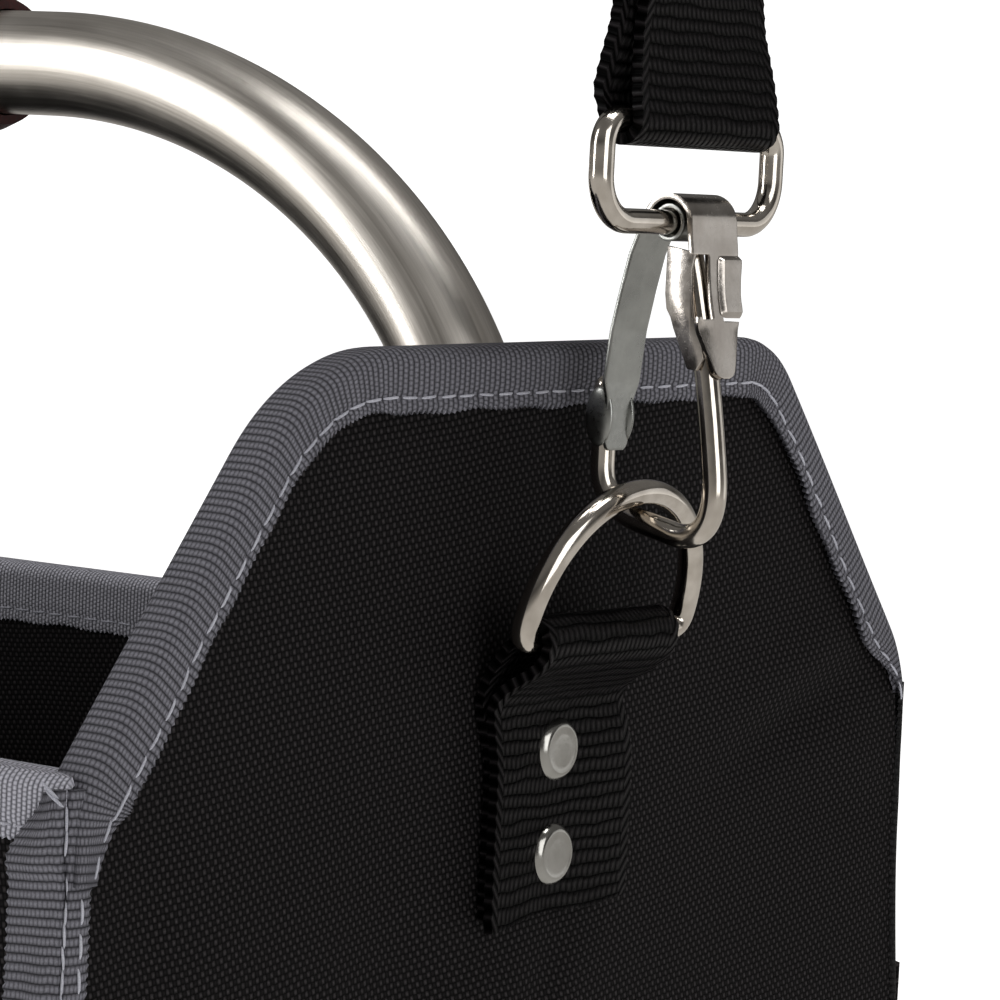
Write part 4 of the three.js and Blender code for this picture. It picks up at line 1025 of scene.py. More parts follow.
def seam_of(run, section, to_world, flaps=(1, -1)):
    """Stitches along both flaps of a folded tape."""
    beyond, depth, _ = section
    places, alongs, outs = [], [], []
    for flap in flaps:
        d = (depth[0] if flap > 0 else depth[-1]) - flap * 0.12
        n = beyond[0] + STITCH_INSET
        for s in np.arange(STITCH_PITCH / 2, run[-1], STITCH_PITCH):
            k = np.array([np.searchsorted(run, s)])
            k = np.clip(k, 1, len(run) - 2)
            here, ahead_of, over = (
                np.array([float(c[0]) for c in to_world(at, np.array([n]), np.array([deep]))])
                for at, deep in ((k, d), (k + 1, d), (k, d + flap))
            )
            places.append(here)
            alongs.append(ahead_of - here)
            outs.append(over - here)
    return sew_line(places, alongs, outs)


# %% End bindings
edge_points, edge_out, edge_run = even_line(END_OUTLINE, 0.36)
edge_first = int(np.argmax(edge_points[:, 1] > 184.5))
edge_last = len(edge_points) - int(np.argmax(edge_points[::-1, 1] > 197.0))
edge_points, edge_out = edge_points[edge_first:edge_last], edge_out[edge_first:edge_last]
edge_run = edge_run[edge_first:edge_last] - edge_run[edge_first]
edge_front = edge_points[:, 0] < 0
edge_slant = ease((edge_points[:, 1] - 212) / 10) * ease((PEAK_TOP - 4 - edge_points[:, 1]) / 12)
front_end = np.where(edge_front, ease((edge_points[:, 1] - 184) / 16), 1.0)
back_end = np.where(edge_front, 1.0, ease((edge_points[:, 1] - 194) / 22))
corner_pinch = 0.15 * np.exp(-(((edge_points[:, 0] + 62) / 13) ** 2)) * (edge_points[:, 1] > 230)
flap_share = 1 - 0.12 * edge_slant - corner_pinch
flap_share = flap_share * (0.28 + 0.72 * front_end) * (0.06 + 0.94 * back_end)


def at_end_edge(station, n, d):
    beyond = np.where(n < 0, n * flap_share[station], n)
    beyond = beyond - EDGE_INSET
    y = edge_points[station, 0] + edge_out[station, 0] * beyond
    z = edge_points[station, 1] + edge_out[station, 1] * beyond
    under = np.minimum(n, 0) * flap_share[station] - EDGE_INSET
    face = end_face(
        edge_points[station, 0] + edge_out[station, 0] * under,
        edge_points[station, 1] + edge_out[station, 1] * under,
    )
    fold = 0.2 + 0.8 * front_end[station]
    depth = END_LIFT - (END_LIFT - d) * fold - 0.2 * (1 - front_end[station])
    return face + depth, y, tilted(y, z)


END_LIFT = TAPE_THICK + 0.7
end_section = folded_section(END_THICK + 0.8, END_LIFT, END_TAPE_WIDTH)
end_binding = facing(lay_tape(edge_run, end_section, at_end_edge), (0, 0, 1))
thick_cloth(end_binding, TAPE_THICK)
finished(
    end_binding, "right_end_binding_tape", "bag", tape_weave,
    ["right_end_binding"], smooth=60)
end_seam = seam_of(edge_run, end_section, at_end_edge)
finished(end_seam, "right_end_stitches", "bag", grey_thread)
left_end_binding = mirrored(end_binding, "left_end_binding_tape", "bag", ["left_end_binding"])
mirrored(end_seam, "left_end_stitches", "bag")

# %% Rim bindings
RIM_REACH = FACE_X - 0.5
rim_x = np.arange(-RIM_REACH, RIM_REACH + 0.2, 0.4)
rim_top = RIM_HEIGHT - EDGE_INSET
rim_section = folded_section(WALL_THICK, TAPE_THICK + FIT_GAP, TAPE_WIDTH)


def at_rim(side):
    def to_world(station, n, d):
        n = np.where((d > 0) & (n < 0) & (side < 0), n * 0.78, n)
        inner = 1 - ease((d + 3) / 3)
        x = rim_x[station] * (1 - inner * (1 - END_REACH / RIM_REACH))
        face = wall_face(x, rim_top + np.minimum(n, 0))
        return x, side * (face + d), rim_top + n

    return to_world


for side, place in ((-1, "front"), (1, "back")):
    tape = facing(lay_tape(rim_x - rim_x[0], rim_section, at_rim(side)), (0, 0, 1))
    thick_cloth(tape, TAPE_THICK)
    finished(
        tape, f"{place}_rim_binding_tape", "bag", rim_weave,
        [f"{place}_rim_binding"], smooth=60)
    flat = (float(rim_section[2][-1]) * MM, 2 * RIM_REACH * MM)
    seam = seam_of(rim_x - rim_x[0], rim_section, at_rim(side))
    finished(seam, f"{place}_rim_stitches", "bag", grey_thread)
print("rim tape", len(tape.data.polygons), "faces")

# %% [markdown]
# ## Long walls
#
# A long wall is a padded panel that swells outwards between its seams, front and back
# alike. The same grid as before lies on the wall's formula, at the back with a few slow
# waves, and gets 6 mm of thickness inwards.


# %% Walls
def wall_wave(x, z):
    calm = ease((RIM_HEIGHT - 14 - z) / 20) * ease((z - 20) / 20)
    return 0.5 * calm * np.sin(x / 31 + 0.6) * np.sin(z / 22 + x / 90)


def lie_wall(side):
    def lie(a, b):
        x = (2 * a - 1) * END_REACH
        z = PANEL_FLOOR + b * (rim_top - PANEL_FLOOR)
        wave = wall_wave(x, z) if side > 0 else 0.0
        return x, side * (wall_face(x, z) + wave), z, x, z

    return lie


for side, place in ((-1, "front"), (1, "back")):
    wall = facing(cloth_grid(120, 70, lie_wall(side)), (0, side, 0))
    thick_cloth(wall, WALL_THICK)
    finished(
        wall, f"{place}_wall_cloth", "bag", panel_cloth, [f"{place}_wall"],
        smooth=45)

# %% [markdown]
# ## Corner tapes
#
# Where a wall meets an end panel, one tape covers the seam: a wide part on the wall, a
# narrow one on the end panel and a tight ridge at the corner itself. At the front the tape
# is grey and sewn with visible thread; at the back it is plain black and narrower.

# %% Corner tapes
CORNER_TAPE_WALL = 9.6
CORNER_TAPE_END = 4.3
BACK_TAPE_END = 0.6
CORNER_LIFT = 0.55
CORNER_LOW = 16.3
CORNER_HIGH = 198.6
corner_z = np.arange(CORNER_LOW, CORNER_HIGH, 0.4)


def corner_section(z, front):
    """x and y across the tape at each height, from the end panel round to the wall."""
    half = half_width(z)
    over = FIT_GAP + TAPE_THICK
    wall_part = CORNER_TAPE_WALL - 7.0 * ease((z - 186) / 13) ** 1.3
    if front:
        over_rim = 1.3 * ease((z - 184.5) / 4)
        end_part = CORNER_TAPE_END - 1.2 * ease((z - 186) / 6)
    else:
        over_rim = 0.9 * ease((188 - z) / 14) - 0.6 * ease((z - 188) / 8)
        end_part = BACK_TAPE_END
    edge_x = end_face(-half, z) - (over - CORNER_LIFT)
    xs, ys = [], []
    for t in np.linspace(0, 1, 8):
        y = half - end_part * (1 - t)
        swollen = 0.35 * math.sin(math.pi * t) if front else 0.0
        xs.append(end_face(-np.minimum(y, half), z) + CORNER_LIFT - 0.2 * (1 - t) + swollen)
        ys.append(y)
    for t in np.radians(np.linspace(8, 82, 8)):
        groove = (1.0 if front else 0.0) * math.exp(-(((t - 0.72) / 0.22) ** 2))
        xs.append(edge_x + (over - groove) * math.cos(t))
        ys.append(half + (over - groove + over_rim * math.sin(t)) * math.sin(t))
    for t in np.linspace(0, 1, 14):
        x = edge_x - wall_part * t
        xs.append(x)
        plump = 0.5 * math.sin(math.pi * min(1.0, t * 1.6)) if front else 0.0
        ys.append(wall_face(x, z) + over + plump + over_rim * (1 - 0.2 * t**4))
    return np.stack(xs, axis=1), np.stack(ys, axis=1)


def lie_corner(side_x, side_y):
    corner_x, corner_y = corner_section(corner_z, side_y < 0)
    steps_across = np.hypot(np.diff(corner_x[200]), np.diff(corner_y[200]))
    corner_place = np.concatenate([[0], np.cumsum(steps_across)])

    def lie(a, b):
        station = np.round(b * (len(corner_z) - 1)).astype(int)
        k = np.round(a * (len(corner_place) - 1)).astype(int)
        z = corner_z[station]
        place = corner_place[k]
        from_edge = np.minimum(place, corner_place[-1] - place)
        scallop = 0.28 * np.sin(2 * np.pi * z / RIB_PITCH) * np.exp(-from_edge / 0.5)
        curl = 0.3 * np.exp(-from_edge / 0.5)
        near_end = (place < corner_place[-1] / 2).astype(float)
        near_wall = 1 - near_end
        pucker = 0.3 * np.sin(z / 4.1 + place * 0.5) * near_wall * ease(from_edge / 3)
        x = corner_x[station, k] + scallop * near_wall - curl * near_end
        y = corner_y[station, k] - scallop * near_end - curl * near_wall + pucker
        return side_x * x, side_y * y, z - 0.06 * (place - 7) * near_wall, place, z

    return lie, corner_place


def corner_threads(side_x, side_y):
    """Stitches on the end panel's part, the thread in the corner's crease, two at the rim."""
    places, alongs, outs = [], [], []
    for z in np.arange(CORNER_LOW + 3, 183, STITCH_PITCH):
        y = float(half_width(z)) - 1.7
        places.append(np.array([side_x * (float(end_face(-y, z)) + 0.95), side_y * y, z]))
        alongs.append(np.array([0, side_y * 0.05, 1.0]))
        outs.append(np.array([side_x, side_y * 0.15, 0]))
    for k, z in enumerate(np.arange(CORNER_LOW + 3, 196, 3.3)):
        rise = 0.45 + 1.0 * float(ease((z - 186) / 6))
        y = float(half_width(z)) + rise + 0.25 * math.sin(z / 5.3)
        places.append(np.array([side_x * (FACE_X - 0.1), side_y * y, z]))
        alongs.append(np.array([0, side_y * 0.12 * math.sin(k * 1.9), 1.0]))
        outs.append(np.array([side_x, side_y * 0.8, 0]))
    for x, z in ((FACE_X - 0.6, 197.3), (FACE_X - 1.6, 198.4)):
        places.append(np.array([side_x * x, side_y * 114.5, z]))
        alongs.append(np.array([side_x * 1.0, 0, -0.75]))
        outs.append(np.array([side_x * 0.2, side_y, 0.2]))
    return sew_line(places, alongs, outs)


for side_x, end in ((1, "right"), (-1, "left")):
    for side_y, place in ((-1, "front"), (1, "back")):
        lie, across_places = lie_corner(side_x, side_y)
        tape = cloth_grid(len(across_places) - 1, len(corner_z) - 1, lie)
        thick_cloth(facing(tape, (side_x, side_y, 0)), TAPE_THICK)
        name = f"{place}_{end}_corner_tape"
        weave, slot = (tape_weave, "grey_tape") if side_y < 0 else (black_tape, "black_fabric")
        finished(tape, f"{name}_cloth", "bag", weave, [name], smooth=60)
        flat = (float(across_places[-1]) * MM, (CORNER_HIGH - CORNER_LOW) * MM)
        if side_y < 0:
            threads = corner_threads(side_x, side_y)
            finished(threads, f"{name}_stitches", "bag", grey_thread)
print("corner tape", len(tape.data.polygons), "faces")

# %% [markdown]
# ## Tab, D-ring and rivets
#
# A length of webbing is folded over the straight side of a D-ring and riveted to the end
# panel. The fold is a ribbon that follows a line seen from the side, with its width added
# across. The ring is drawn wire, and each rivet is a small turned profile.

# %% Ribbons of webbing
RING_WIRE = 2.1
D_RING_X = 207.0
D_RING_Z = 214.5
D_RING_HALF = 21.5
D_RING_RISE = 24.2
D_RING_CORNER = 3.0
D_RING_LEAN = math.radians(15.8)
WEB_THICK = 1.6


def ribbon(line, width, thick, step, across_faces, ripple=None, shift=None):
    """Webbing along a line of (x, z) points, width across Y, as a closed sheet."""
    points, normal, run = even_line(np.array(line), step)

    def lie(a, b):
        station = np.round(b * (len(run) - 1)).astype(int)
        y = (2 * a - 1) * width / 2
        s = run[station]
        near = np.exp(-(width / 2 - np.abs(y)) / 0.5)
        y = y + np.sign(y) * 0.22 * np.sin(2 * np.pi * s / WEB_ROW) * near
        lift = ripple(y, s, run[-1]) if ripple else 0.0
        x = points[station, 0] + normal[station, 0] * lift
        z = points[station, 1] + normal[station, 1] * lift
        if shift:
            moved_x, moved_y, moved_z = shift(y, s, run[-1], z)
            return x + moved_x, y + moved_y, z + moved_z, y, s
        return x, y, z, y, s

    piece = cloth_grid(across_faces, len(run) - 1, lie)
    applied(piece, "SOLIDIFY", thickness=thick * MM, offset=0.0)
    return piece, float(run[-1])


def quadratic(start, control, end, count):
    t = np.linspace(0, 1, count)[:, None]
    start, control, end = (np.array(p, float) for p in (start, control, end))
    return (1 - t) ** 2 * start + 2 * t * (1 - t) * control + t**2 * end


# %% Tab
RIVET_HIGH = 195.4
RIVET_SPACING = 16.9
RIVET_RADIUS = 5.2
tab_inner_x = FACE_X + FIT_GAP + WEB_THICK / 2
tab_outer_x = tab_inner_x + WEB_THICK + FIT_GAP
tab_join = RIVET_HIGH + RIVET_RADIUS + 2
tab_loop = RING_WIRE + FIT_GAP + WEB_THICK / 2


def tab_line():
    turns = np.linspace(math.pi, 0, 24)
    arc = [(D_RING_X + tab_loop * math.cos(t), D_RING_Z + tab_loop * math.sin(t)) for t in turns]
    back = quadratic((tab_inner_x, tab_join), (tab_inner_x, D_RING_Z - 7), arc[0], 10)
    t = np.linspace(0, 1, 24)[:, None]
    level = tab_join + 5.5
    begin, leave, arrive, stop = (
        np.array(p)
        for p in (arc[-1], (arc[-1][0], level), (tab_outer_x, level), (tab_outer_x, tab_join - 1.5))
    )
    front = (1 - t) ** 3 * begin + 3 * t * (1 - t) ** 2 * leave
    front = front + 3 * t**2 * (1 - t) * arrive + t**3 * stop
    return [(tab_inner_x, TAB_BOTTOM), *back[:-1], *arc, *front[1:], (tab_outer_x, TAB_BOTTOM)]


RIVET_UP = (RIVET_HIGH - TAB_BOTTOM, RIVET_HIGH - RIVET_SPACING - TAB_BOTTOM)


def tab_ripple(y, s, total):
    from_end = total - s
    flutter = 0.5 * np.sin(y / 3.4 + 0.7) * np.exp(-from_end / 4) * (np.abs(y) < 19.5)
    buckle = 0.3 * np.sin(s / 2.6 + y / 9) * np.exp(-(((from_end - 36) / 8) ** 2))
    dents = sum(np.exp(-((y / 7.5) ** 2) - ((from_end - up) / 7.5) ** 2) for up in RIVET_UP)
    outer = ease((total / 2 - from_end) / 4)
    return outer * (np.abs(flutter) * 0.6 + buckle * 0.6 - 0.55 * dents)


def tab_shift(y, s, total, z):
    """Both layers are sewn a little askew, and the cut end is wavy."""
    from_end = total - s
    below = ease((206 - z) / 14)
    outer = (from_end < total / 2).astype(float)
    left = (y < 0) * np.abs(y) / 19
    right = (y > 0) * y / 19
    outer_layer = outer * (2.6 * left + 1.4 * right)
    sideways = below * (outer_layer + (1 - outer) * (3.6 * left - 1.0 * right))
    cut = outer * np.exp(-from_end / 3.5) * (0.055 * y + 0.55 * np.sin((y + 11) / 4.6))
    sideways = sideways - (1 - below) * 2.9 * right
    return 0.0, sideways, cut


tab, tab_length = ribbon(tab_line(), WEB_WIDTH, WEB_THICK, 0.35, 60, tab_ripple, tab_shift)
left_tab = at_both_ends(tab, "webbing_tab", "bag", black_webbing, "tab", 60)
for piece in (tab, left_tab):
    tab_flat = (WEB_WIDTH * MM, tab_length * MM)
print("tab cut", round(tab_length, 1), "mm,", len(tab.data.polygons), "faces")


# %% D-rings and rectangular rings
def d_ring_path():
    flat_half = D_RING_HALF - D_RING_CORNER
    bow = D_RING_RISE - D_RING_CORNER
    bar = [(y, 0.0) for y in np.linspace(-flat_half, flat_half, 16)]
    first = quadratic((flat_half, 0), (D_RING_HALF, 0), (D_RING_HALF, D_RING_CORNER), 8)
    turns = np.linspace(0, math.pi, 90)
    arc = [(D_RING_HALF * math.cos(t), D_RING_CORNER + bow * math.sin(t)) for t in turns]
    last = quadratic((-D_RING_HALF, D_RING_CORNER), (-D_RING_HALF, 0), (-flat_half, 0), 8)
    y, rise = np.concatenate([bar, first[1:], arc[1:], last[1:-1]]).T
    x = D_RING_X + rise * math.sin(D_RING_LEAN)
    return np.stack([x, y, D_RING_Z + rise * math.cos(D_RING_LEAN)], axis=1)


d_ring = drawn_wire(d_ring_path(), RING_WIRE, 24, closed=True)
at_both_ends(d_ring, "d_ring_wire", "ring", nickel_wire, "d_ring")

APEX_X = D_RING_X + D_RING_RISE * math.sin(D_RING_LEAN)
APEX_Z = D_RING_Z + D_RING_RISE * math.cos(D_RING_LEAN)
LINK_X = APEX_X + 5.3
LINK_LOW = APEX_Z + 42.4
LINK_HIGH = LINK_LOW + 15.5
LINK_WIRE = 1.95


def link_ring_path():
    half, low, top = 47 / 2, 7.0, 4.4
    joint = -4.0
    corners = [
        (half - low, LINK_LOW + low, low, -90), (half - top, LINK_HIGH - top, top, 0),
        (top - half, LINK_HIGH - top, top, 90), (low - half, LINK_LOW + low, low, 180),
    ]
    line = [(joint + 0.12, LINK_LOW)]
    for y, z, radius, start in corners:
        turns = np.radians(start + np.linspace(0, 90, 24))
        line += [(y + radius * math.cos(t), z + radius * math.sin(t)) for t in turns]
    line.append((joint - 0.12, LINK_LOW))
    flat = even_line(np.array(line), 0.5)[0]
    return np.stack([np.full(len(flat), LINK_X), flat[:, 0], flat[:, 1]], axis=1)


link_ring = drawn_wire(link_ring_path(), LINK_WIRE, 24)
at_both_ends(link_ring, "link_ring_wire", "link", nickel_wire, "link_ring", 50)
print("rings", len(d_ring.data.polygons), len(link_ring.data.polygons), "faces")

# %% Rivets
rivet_seat = tab_outer_x + WEB_THICK / 2 - 1.1
rivet_inside = LEG_X - TUBE_RADIUS - 2 * FIT_GAP - 1.5
washer = [(0.01, -1.6), (3.4, -1.6), (4.3, -1.3), (4.6, -0.8), (4.6, -0.3), (2.0, -0.3)]
head = [
    (2.0, 0.0), (5.2, 0.0), (5.22, 0.3), (5.1, 0.65), (4.75, 1.1), (4.35, 1.5), (4.05, 1.68),
    (3.7, 1.74), (3.5, 1.7), (3.3, 1.66), (2.4, 1.7), (1.0, 1.74), (0.01, 1.74),
]
rivet_profile = [(radius, rivet_inside + x) for radius, x in washer]
rivet_profile += [(radius, rivet_seat + x) for radius, x in head]
for place, height in (("upper", RIVET_HIGH), ("lower", RIVET_HIGH - RIVET_SPACING)):
    rivet = turned_about_x(rivet_profile, 48)
    rivet.location = (0, 0, height * MM)
    at_both_ends(
        rivet, f"{place}_rivet_head", "bag", rivet_metal, f"{place}_rivet", 35)

# %% [markdown]
# ## The snap hook
#
# The hook is one bent wire that hooks through the D-ring, a folded sheet clamp that holds
# it to the rectangular ring, and a springy strip, the gate, that closes the hook's mouth.

# %% Hook wire
NOSE_OUT = 13.3
NOSE_DROP = 26.5
HOOK_WIRE = 1.95


def hook_path():
    parts = [
        quadratic((1.2, -4.4), (5.4, -20), (7.8, -38), 24),
        quadratic((7.8, -38), (9.3, -49.4), (1.4, -48.6), 16)[1:],
        np.linspace((1.4, -48.6), (-5.6, -47), 6)[1:],
        quadratic((-5.6, -47), (-NOSE_OUT, -45), (-NOSE_OUT, -38.5), 16)[1:],
        np.linspace((-NOSE_OUT, -38.5), (-NOSE_OUT, -NOSE_DROP), 10)[1:],
    ]
    flat = even_line(np.concatenate(parts), 0.5)[0]
    return np.stack([LINK_X + flat[:, 0], np.zeros(len(flat)), LINK_LOW + flat[:, 1]], axis=1)


hook_wire = drawn_wire(hook_path(), HOOK_WIRE, 24)
nose_at = Vector((LINK_X - NOSE_OUT, 0, LINK_LOW - NOSE_DROP)) * MM
bpy.ops.mesh.primitive_uv_sphere_add(
    segments=24, ring_count=12, radius=HOOK_WIRE * MM, location=nose_at)
hook_wire = joined([hook_wire, bpy.context.object])
at_both_ends(hook_wire, "hook_wire", "hook", nickel_wire, "hook_body", 50)
print("hook", len(hook_wire.data.polygons), "faces")

# %% [markdown]
# ## Clamp and gate
#
# Both are pressed from thin sheet. A flat grid is bent along a line seen from the side,
# the faces inside the clamp's openings are deleted, and the sheet then gets its thickness
# and a small bevel, as a press leaves it. The gate's two side lips are flattened balls.

# %% Sheet metal
def bevelled(piece, width, segments):
    """Rounds the sharp edges by a width in millimetres."""
    return applied(
        piece, "BEVEL", width=width * MM, segments=segments, limit_method="ANGLE",
        angle_limit=math.radians(50))


def pressed(piece, thick):
    """Gives a sheet its thickness and the small bevel that a press leaves."""
    applied(piece, "SOLIDIFY", thickness=thick * MM, offset=0.0)
    return bevelled(piece, 0.14, 2)


def pressed_strip(line, step, width, across_faces, thick, keep=None, bend=None):
    """A strip along a line of (x, z) points at the hook; width(z) gives its two edges in y."""
    points, normal, run = even_line(np.array(line, float), step)

    def lie(a, b):
        station = np.round(b * (len(run) - 1)).astype(int)
        low, high = width(points[station, 1])
        y = low + (high - low) * a
        lift = bend(y, points[station, 1]) if bend else 0.0
        x = LINK_X + points[station, 0] + normal[station, 0] * lift
        return x, y, LINK_LOW + points[station, 1] + normal[station, 1] * lift, y, run[station]

    piece = cloth_grid(across_faces, len(run) - 1, lie)
    if keep:
        only(piece)
        bpy.ops.object.mode_set(mode="EDIT")
        bpy.ops.mesh.select_mode(type="FACE")
        bpy.ops.mesh.select_all(action="DESELECT")
        bpy.ops.object.mode_set(mode="OBJECT")
        for face in piece.data.polygons:
            x, y, z = face.center / MM
            face.select = not keep(y, z - LINK_LOW, x - LINK_X)
        bpy.ops.object.mode_set(mode="EDIT")
        bpy.ops.mesh.delete(type="FACE")
        bpy.ops.object.mode_set(mode="OBJECT")
    return pressed(piece, thick)


# %% Clamp
CLAMP_SHEET = 0.9
CLAMP_HALF = 6.3
CLAMP_MIDDLE = 1.3


def clamp_width(z):
    narrow = np.clip((-z - 15.2) / 6.8, 0, 1)
    tip = np.clip((-z - 21.6) / 2.0, 0, 1)
    half = CLAMP_HALF - 2.6 * narrow - 2.2 * (1 - np.sqrt(np.clip(1 - tip**2, 0, 1)))
    return CLAMP_MIDDLE - half, CLAMP_MIDDLE + half - 1.6 * ease((-z - 3.5) / 9)


def clamp_share(y, z):
    """How far across the sheet a place is, from 0 to 1."""
    low, high = clamp_width(z)
    return (y - low) / (high - low)


def clamp_keep(y, z, x):
    if x < 3.6:
        return True
    window = -14.4 < z < -4.8 and clamp_share(y, z) < 0.352
    slit = -14.9 < z < -14.3 and clamp_share(y, z) > 0.588
    return not (window or slit)


def clamp_bend(y, z):
    """The shield's sides curl back a little, and the wing beside the window stands proud."""
    curl = -0.8 * ease((-z - 13.5) / 3) * ((y - CLAMP_MIDDLE) / CLAMP_HALF) ** 2
    wing = 0.75 * ease((clamp_share(y, z) - 0.559) / 0.056)
    return curl + wing * ease((-z - 5.0) / 0.8) * ease((z + 14.6) / 1.2)


turns = np.radians(np.linspace(205, 0, 30))
clamp_line = [(4.1 * math.cos(t), 4.1 * math.sin(t)) for t in turns]
clamp_line += [
    (4.3, -2.0), (4.7, -4.8), (5.2, -8.0), (5.8, -11.0), (6.6, -14.5), (7.3, -18.0),
    (7.9, -21.0), (8.45, -23.7),
]
clamp_sheet = pressed_strip(clamp_line, 0.36, clamp_width, 34, CLAMP_SHEET, clamp_keep, clamp_bend)


def side_plate(outline, y, thick):
    """A flat plate across Y, cut to an outline of (x, z) points at the hook."""
    points = [(LINK_X + x, y, LINK_LOW + z) for x, z in outline]
    return pressed(new_piece("plate", points, [list(range(len(points)))]), thick)


flange_outline = [
    (-0.9, -3.6), (4.2, -4.4), (3.7, -7.0), (3.9, -11.0), (4.4, -14.5), (6.0, -16.5),
    (6.8, -20.6), (5.6, -22.6), (3.9, -22.4), (1.0, -16.4), (0.3, -14.6), (-0.5, -13.4),
    (-0.9, -11.0),
]
hook_clamp = joined([clamp_sheet, side_plate(flange_outline, -3.0, CLAMP_SHEET)])
at_both_ends(hook_clamp, "clamp_sheet", "hook", nickel_sheet, "hook_clamp", 25)


# %% Gate
def gate_width(z):
    half = 4.75 - 1.3 * ease((-z - 25) / 4) - 0.4 * ease((-z - 30) / 5)
    tip = np.clip((-z - 34.6) / 1.8, 0, 1)
    half = half - 1.6 * (1 - np.sqrt(np.clip(1 - tip**2, 0, 1)))
    return -half, half


turns = np.radians(np.linspace(-150, 150, 40))
gate_line = [(2.6 * math.cos(t), 2.6 * math.sin(t)) for t in turns]
gate_line += [
    (-4.1, 0.1), (-5.6, -1.9), (-6.9, -5.2), (-8.3, -10.8), (-9.7, -17.3), (-10.6, -25.4),
    (-10.9, -31.0), (-11.2, -36.3),
]
gate_strip = pressed_strip(gate_line, 0.5, gate_width, 16, 0.65)
ears = []
for side in (-1, 1):
    clear_selection()
    bpy.ops.mesh.primitive_uv_sphere_add(segments=32, ring_count=20, radius=MM)
    ear = bpy.context.object
    ear.scale = (2.6, 0.8, 4.7)
    ear.location = ((LINK_X - 12.4) * MM, side * 2.9 * MM, (LINK_LOW - 31.0) * MM)
    bpy.ops.object.transform_apply(location=True, rotation=True, scale=True)
    ears.append(ear)
hook_gate = joined([gate_strip, *ears])
at_both_ends(hook_gate, "gate_strip", "gate", spring_strip, "hook_gate", 40)
print("clamp", len(hook_clamp.data.polygons), "gate", len(hook_gate.data.polygons), "faces")

# %% [markdown]
# ## The shoulder strap
#
# The strap is one long webbing that turns through both rectangular rings. At the right
# its end is sewn back on itself; at the left it runs through a three-bar slider. It
# stands in a tall arch, as something beyond the picture holds it up.

# %% Strap webbing
STRAP_THICK = 1.8
STRAP_X = LINK_X + STRAP_THICK / 2 + FIT_GAP / 2
STRAP_TURN = LINK_HIGH + 135
FOLD_RADIUS = LINK_WIRE + FIT_GAP + STRAP_THICK / 2
SLIDER_BAR = 3.0


def strap_line():
    settle = LINK_HIGH + 14
    in_x = STRAP_X - STRAP_THICK - FIT_GAP

    def fold(side, start, end):
        return [
            (side * (LINK_X + FOLD_RADIUS * math.cos(t)), LINK_HIGH + FOLD_RADIUS * math.sin(t))
            for t in np.linspace(start, end, 24)
        ]

    turns = np.linspace(0, math.pi, 90)
    arc = [(STRAP_X * math.cos(t), STRAP_TURN + STRAP_X * math.sin(t)) for t in turns]
    stand = SLIDER_BAR + STRAP_THICK
    return [
        (in_x, LINK_HIGH + 42), (in_x, settle), *fold(1, math.pi, 2 * math.pi),
        (STRAP_X, settle), (STRAP_X, LINK_HIGH + 60), *arc,
        (-STRAP_X, LINK_HIGH + 60), (-STRAP_X, settle), *fold(-1, 2 * math.pi, math.pi),
        (-in_x, settle), (-in_x + stand, settle + 26), (-in_x + stand, LINK_HIGH + 118),
    ]


def strap_twist(y, s, total, z):
    """Above the right ring the strap turns a little, and its sewn tail lies askew."""
    near = ease((z - LINK_HIGH - 1) / 26) * ease((LINK_HIGH + 125 - z) / 60) * (s < total / 2)
    tail = (s < 44) * ease((z - LINK_HIGH + 1) / 6)
    return -0.145 * y * near - 0.6 * tail * near, -3.2 * tail, 0.0


strap, strap_length = ribbon(strap_line(), WEB_WIDTH, STRAP_THICK, 0.7, 40, None, strap_twist)
finished(
    strap, "strap_webbing_weave", "strap", black_webbing, ["strap_webbing"],
    smooth=60)
strap_length * MM
print("strap cut", round(strap_length), "mm,", len(strap.data.polygons), "faces")

# %% [markdown]
# ## Pockets and zip
#
# The front wall carries a flat zipped pocket. Its cloth is padded and sewn down all round,
# so the sheet swells in the middle and sinks at its seams. A zip is two narrow tapes with
# a row of teeth along each; one tooth is modelled and copied, and the rows interlock. The
# back wall carries an open pocket whose top edge is bound like the rim.

# %% Front pocket
POCKET_FLOOR = 20.0
ZIP_DROP = 12.0
ZIP_TAPE = 0.7


def lie_front_pocket(a, b):
    x = (2 * a - 1) * ZIP_REACH
    z = POCKET_FLOOR + b * (BULGE_TOP - POCKET_FLOOR)
    from_side = ZIP_REACH - np.abs(x)
    edge = np.minimum(from_side, np.minimum(z - POCKET_FLOOR, BULGE_TOP - z))
    puff = 0.9 + 2.0 * ease(edge / 9) - 0.5 * np.exp(-(((edge - 3.2) / 1.1) ** 2))
    wave = 0.45 * np.sin(x / 19 + 0.3) * np.sin(z / 15 + x / 70) * ease(edge / 20)
    return x, -(wall_face(x, z) + FIT_GAP + puff + wave), z, x, z


front_pocket = facing(cloth_grid(180, 80, lie_front_pocket), (0, -1, 0))
thick_cloth(front_pocket, 0.8)
finished(
    front_pocket, "front_pocket_cloth", "bag", panel_cloth, ["front_pocket"],
    smooth=50)


def pocket_stitches():
    places, alongs, outs = [], [], []
    reach, low, high = ZIP_REACH - 3.2, POCKET_FLOOR + 3.2, BULGE_TOP - 4
    corners = [(-reach, high), (-reach, low), (reach, low), (reach, high)]
    for (x0, z0), (x1, z1) in zip(corners, corners[1:]):
        length = math.hypot(x1 - x0, z1 - z0)
        for s in np.arange(STITCH_PITCH / 2, length, STITCH_PITCH):
            x, z = x0 + (x1 - x0) * s / length, z0 + (z1 - z0) * s / length
            places.append(np.array([x, -(float(wall_face(x, z)) + FIT_GAP + 1.15), z]))
            alongs.append(np.array([x1 - x0, 0, z1 - z0]))
            outs.append(np.array([0, -1.0, 0]))
    return sew_line(places, alongs, outs)


finished(pocket_stitches(), "front_pocket_stitches", "bag", grey_thread)


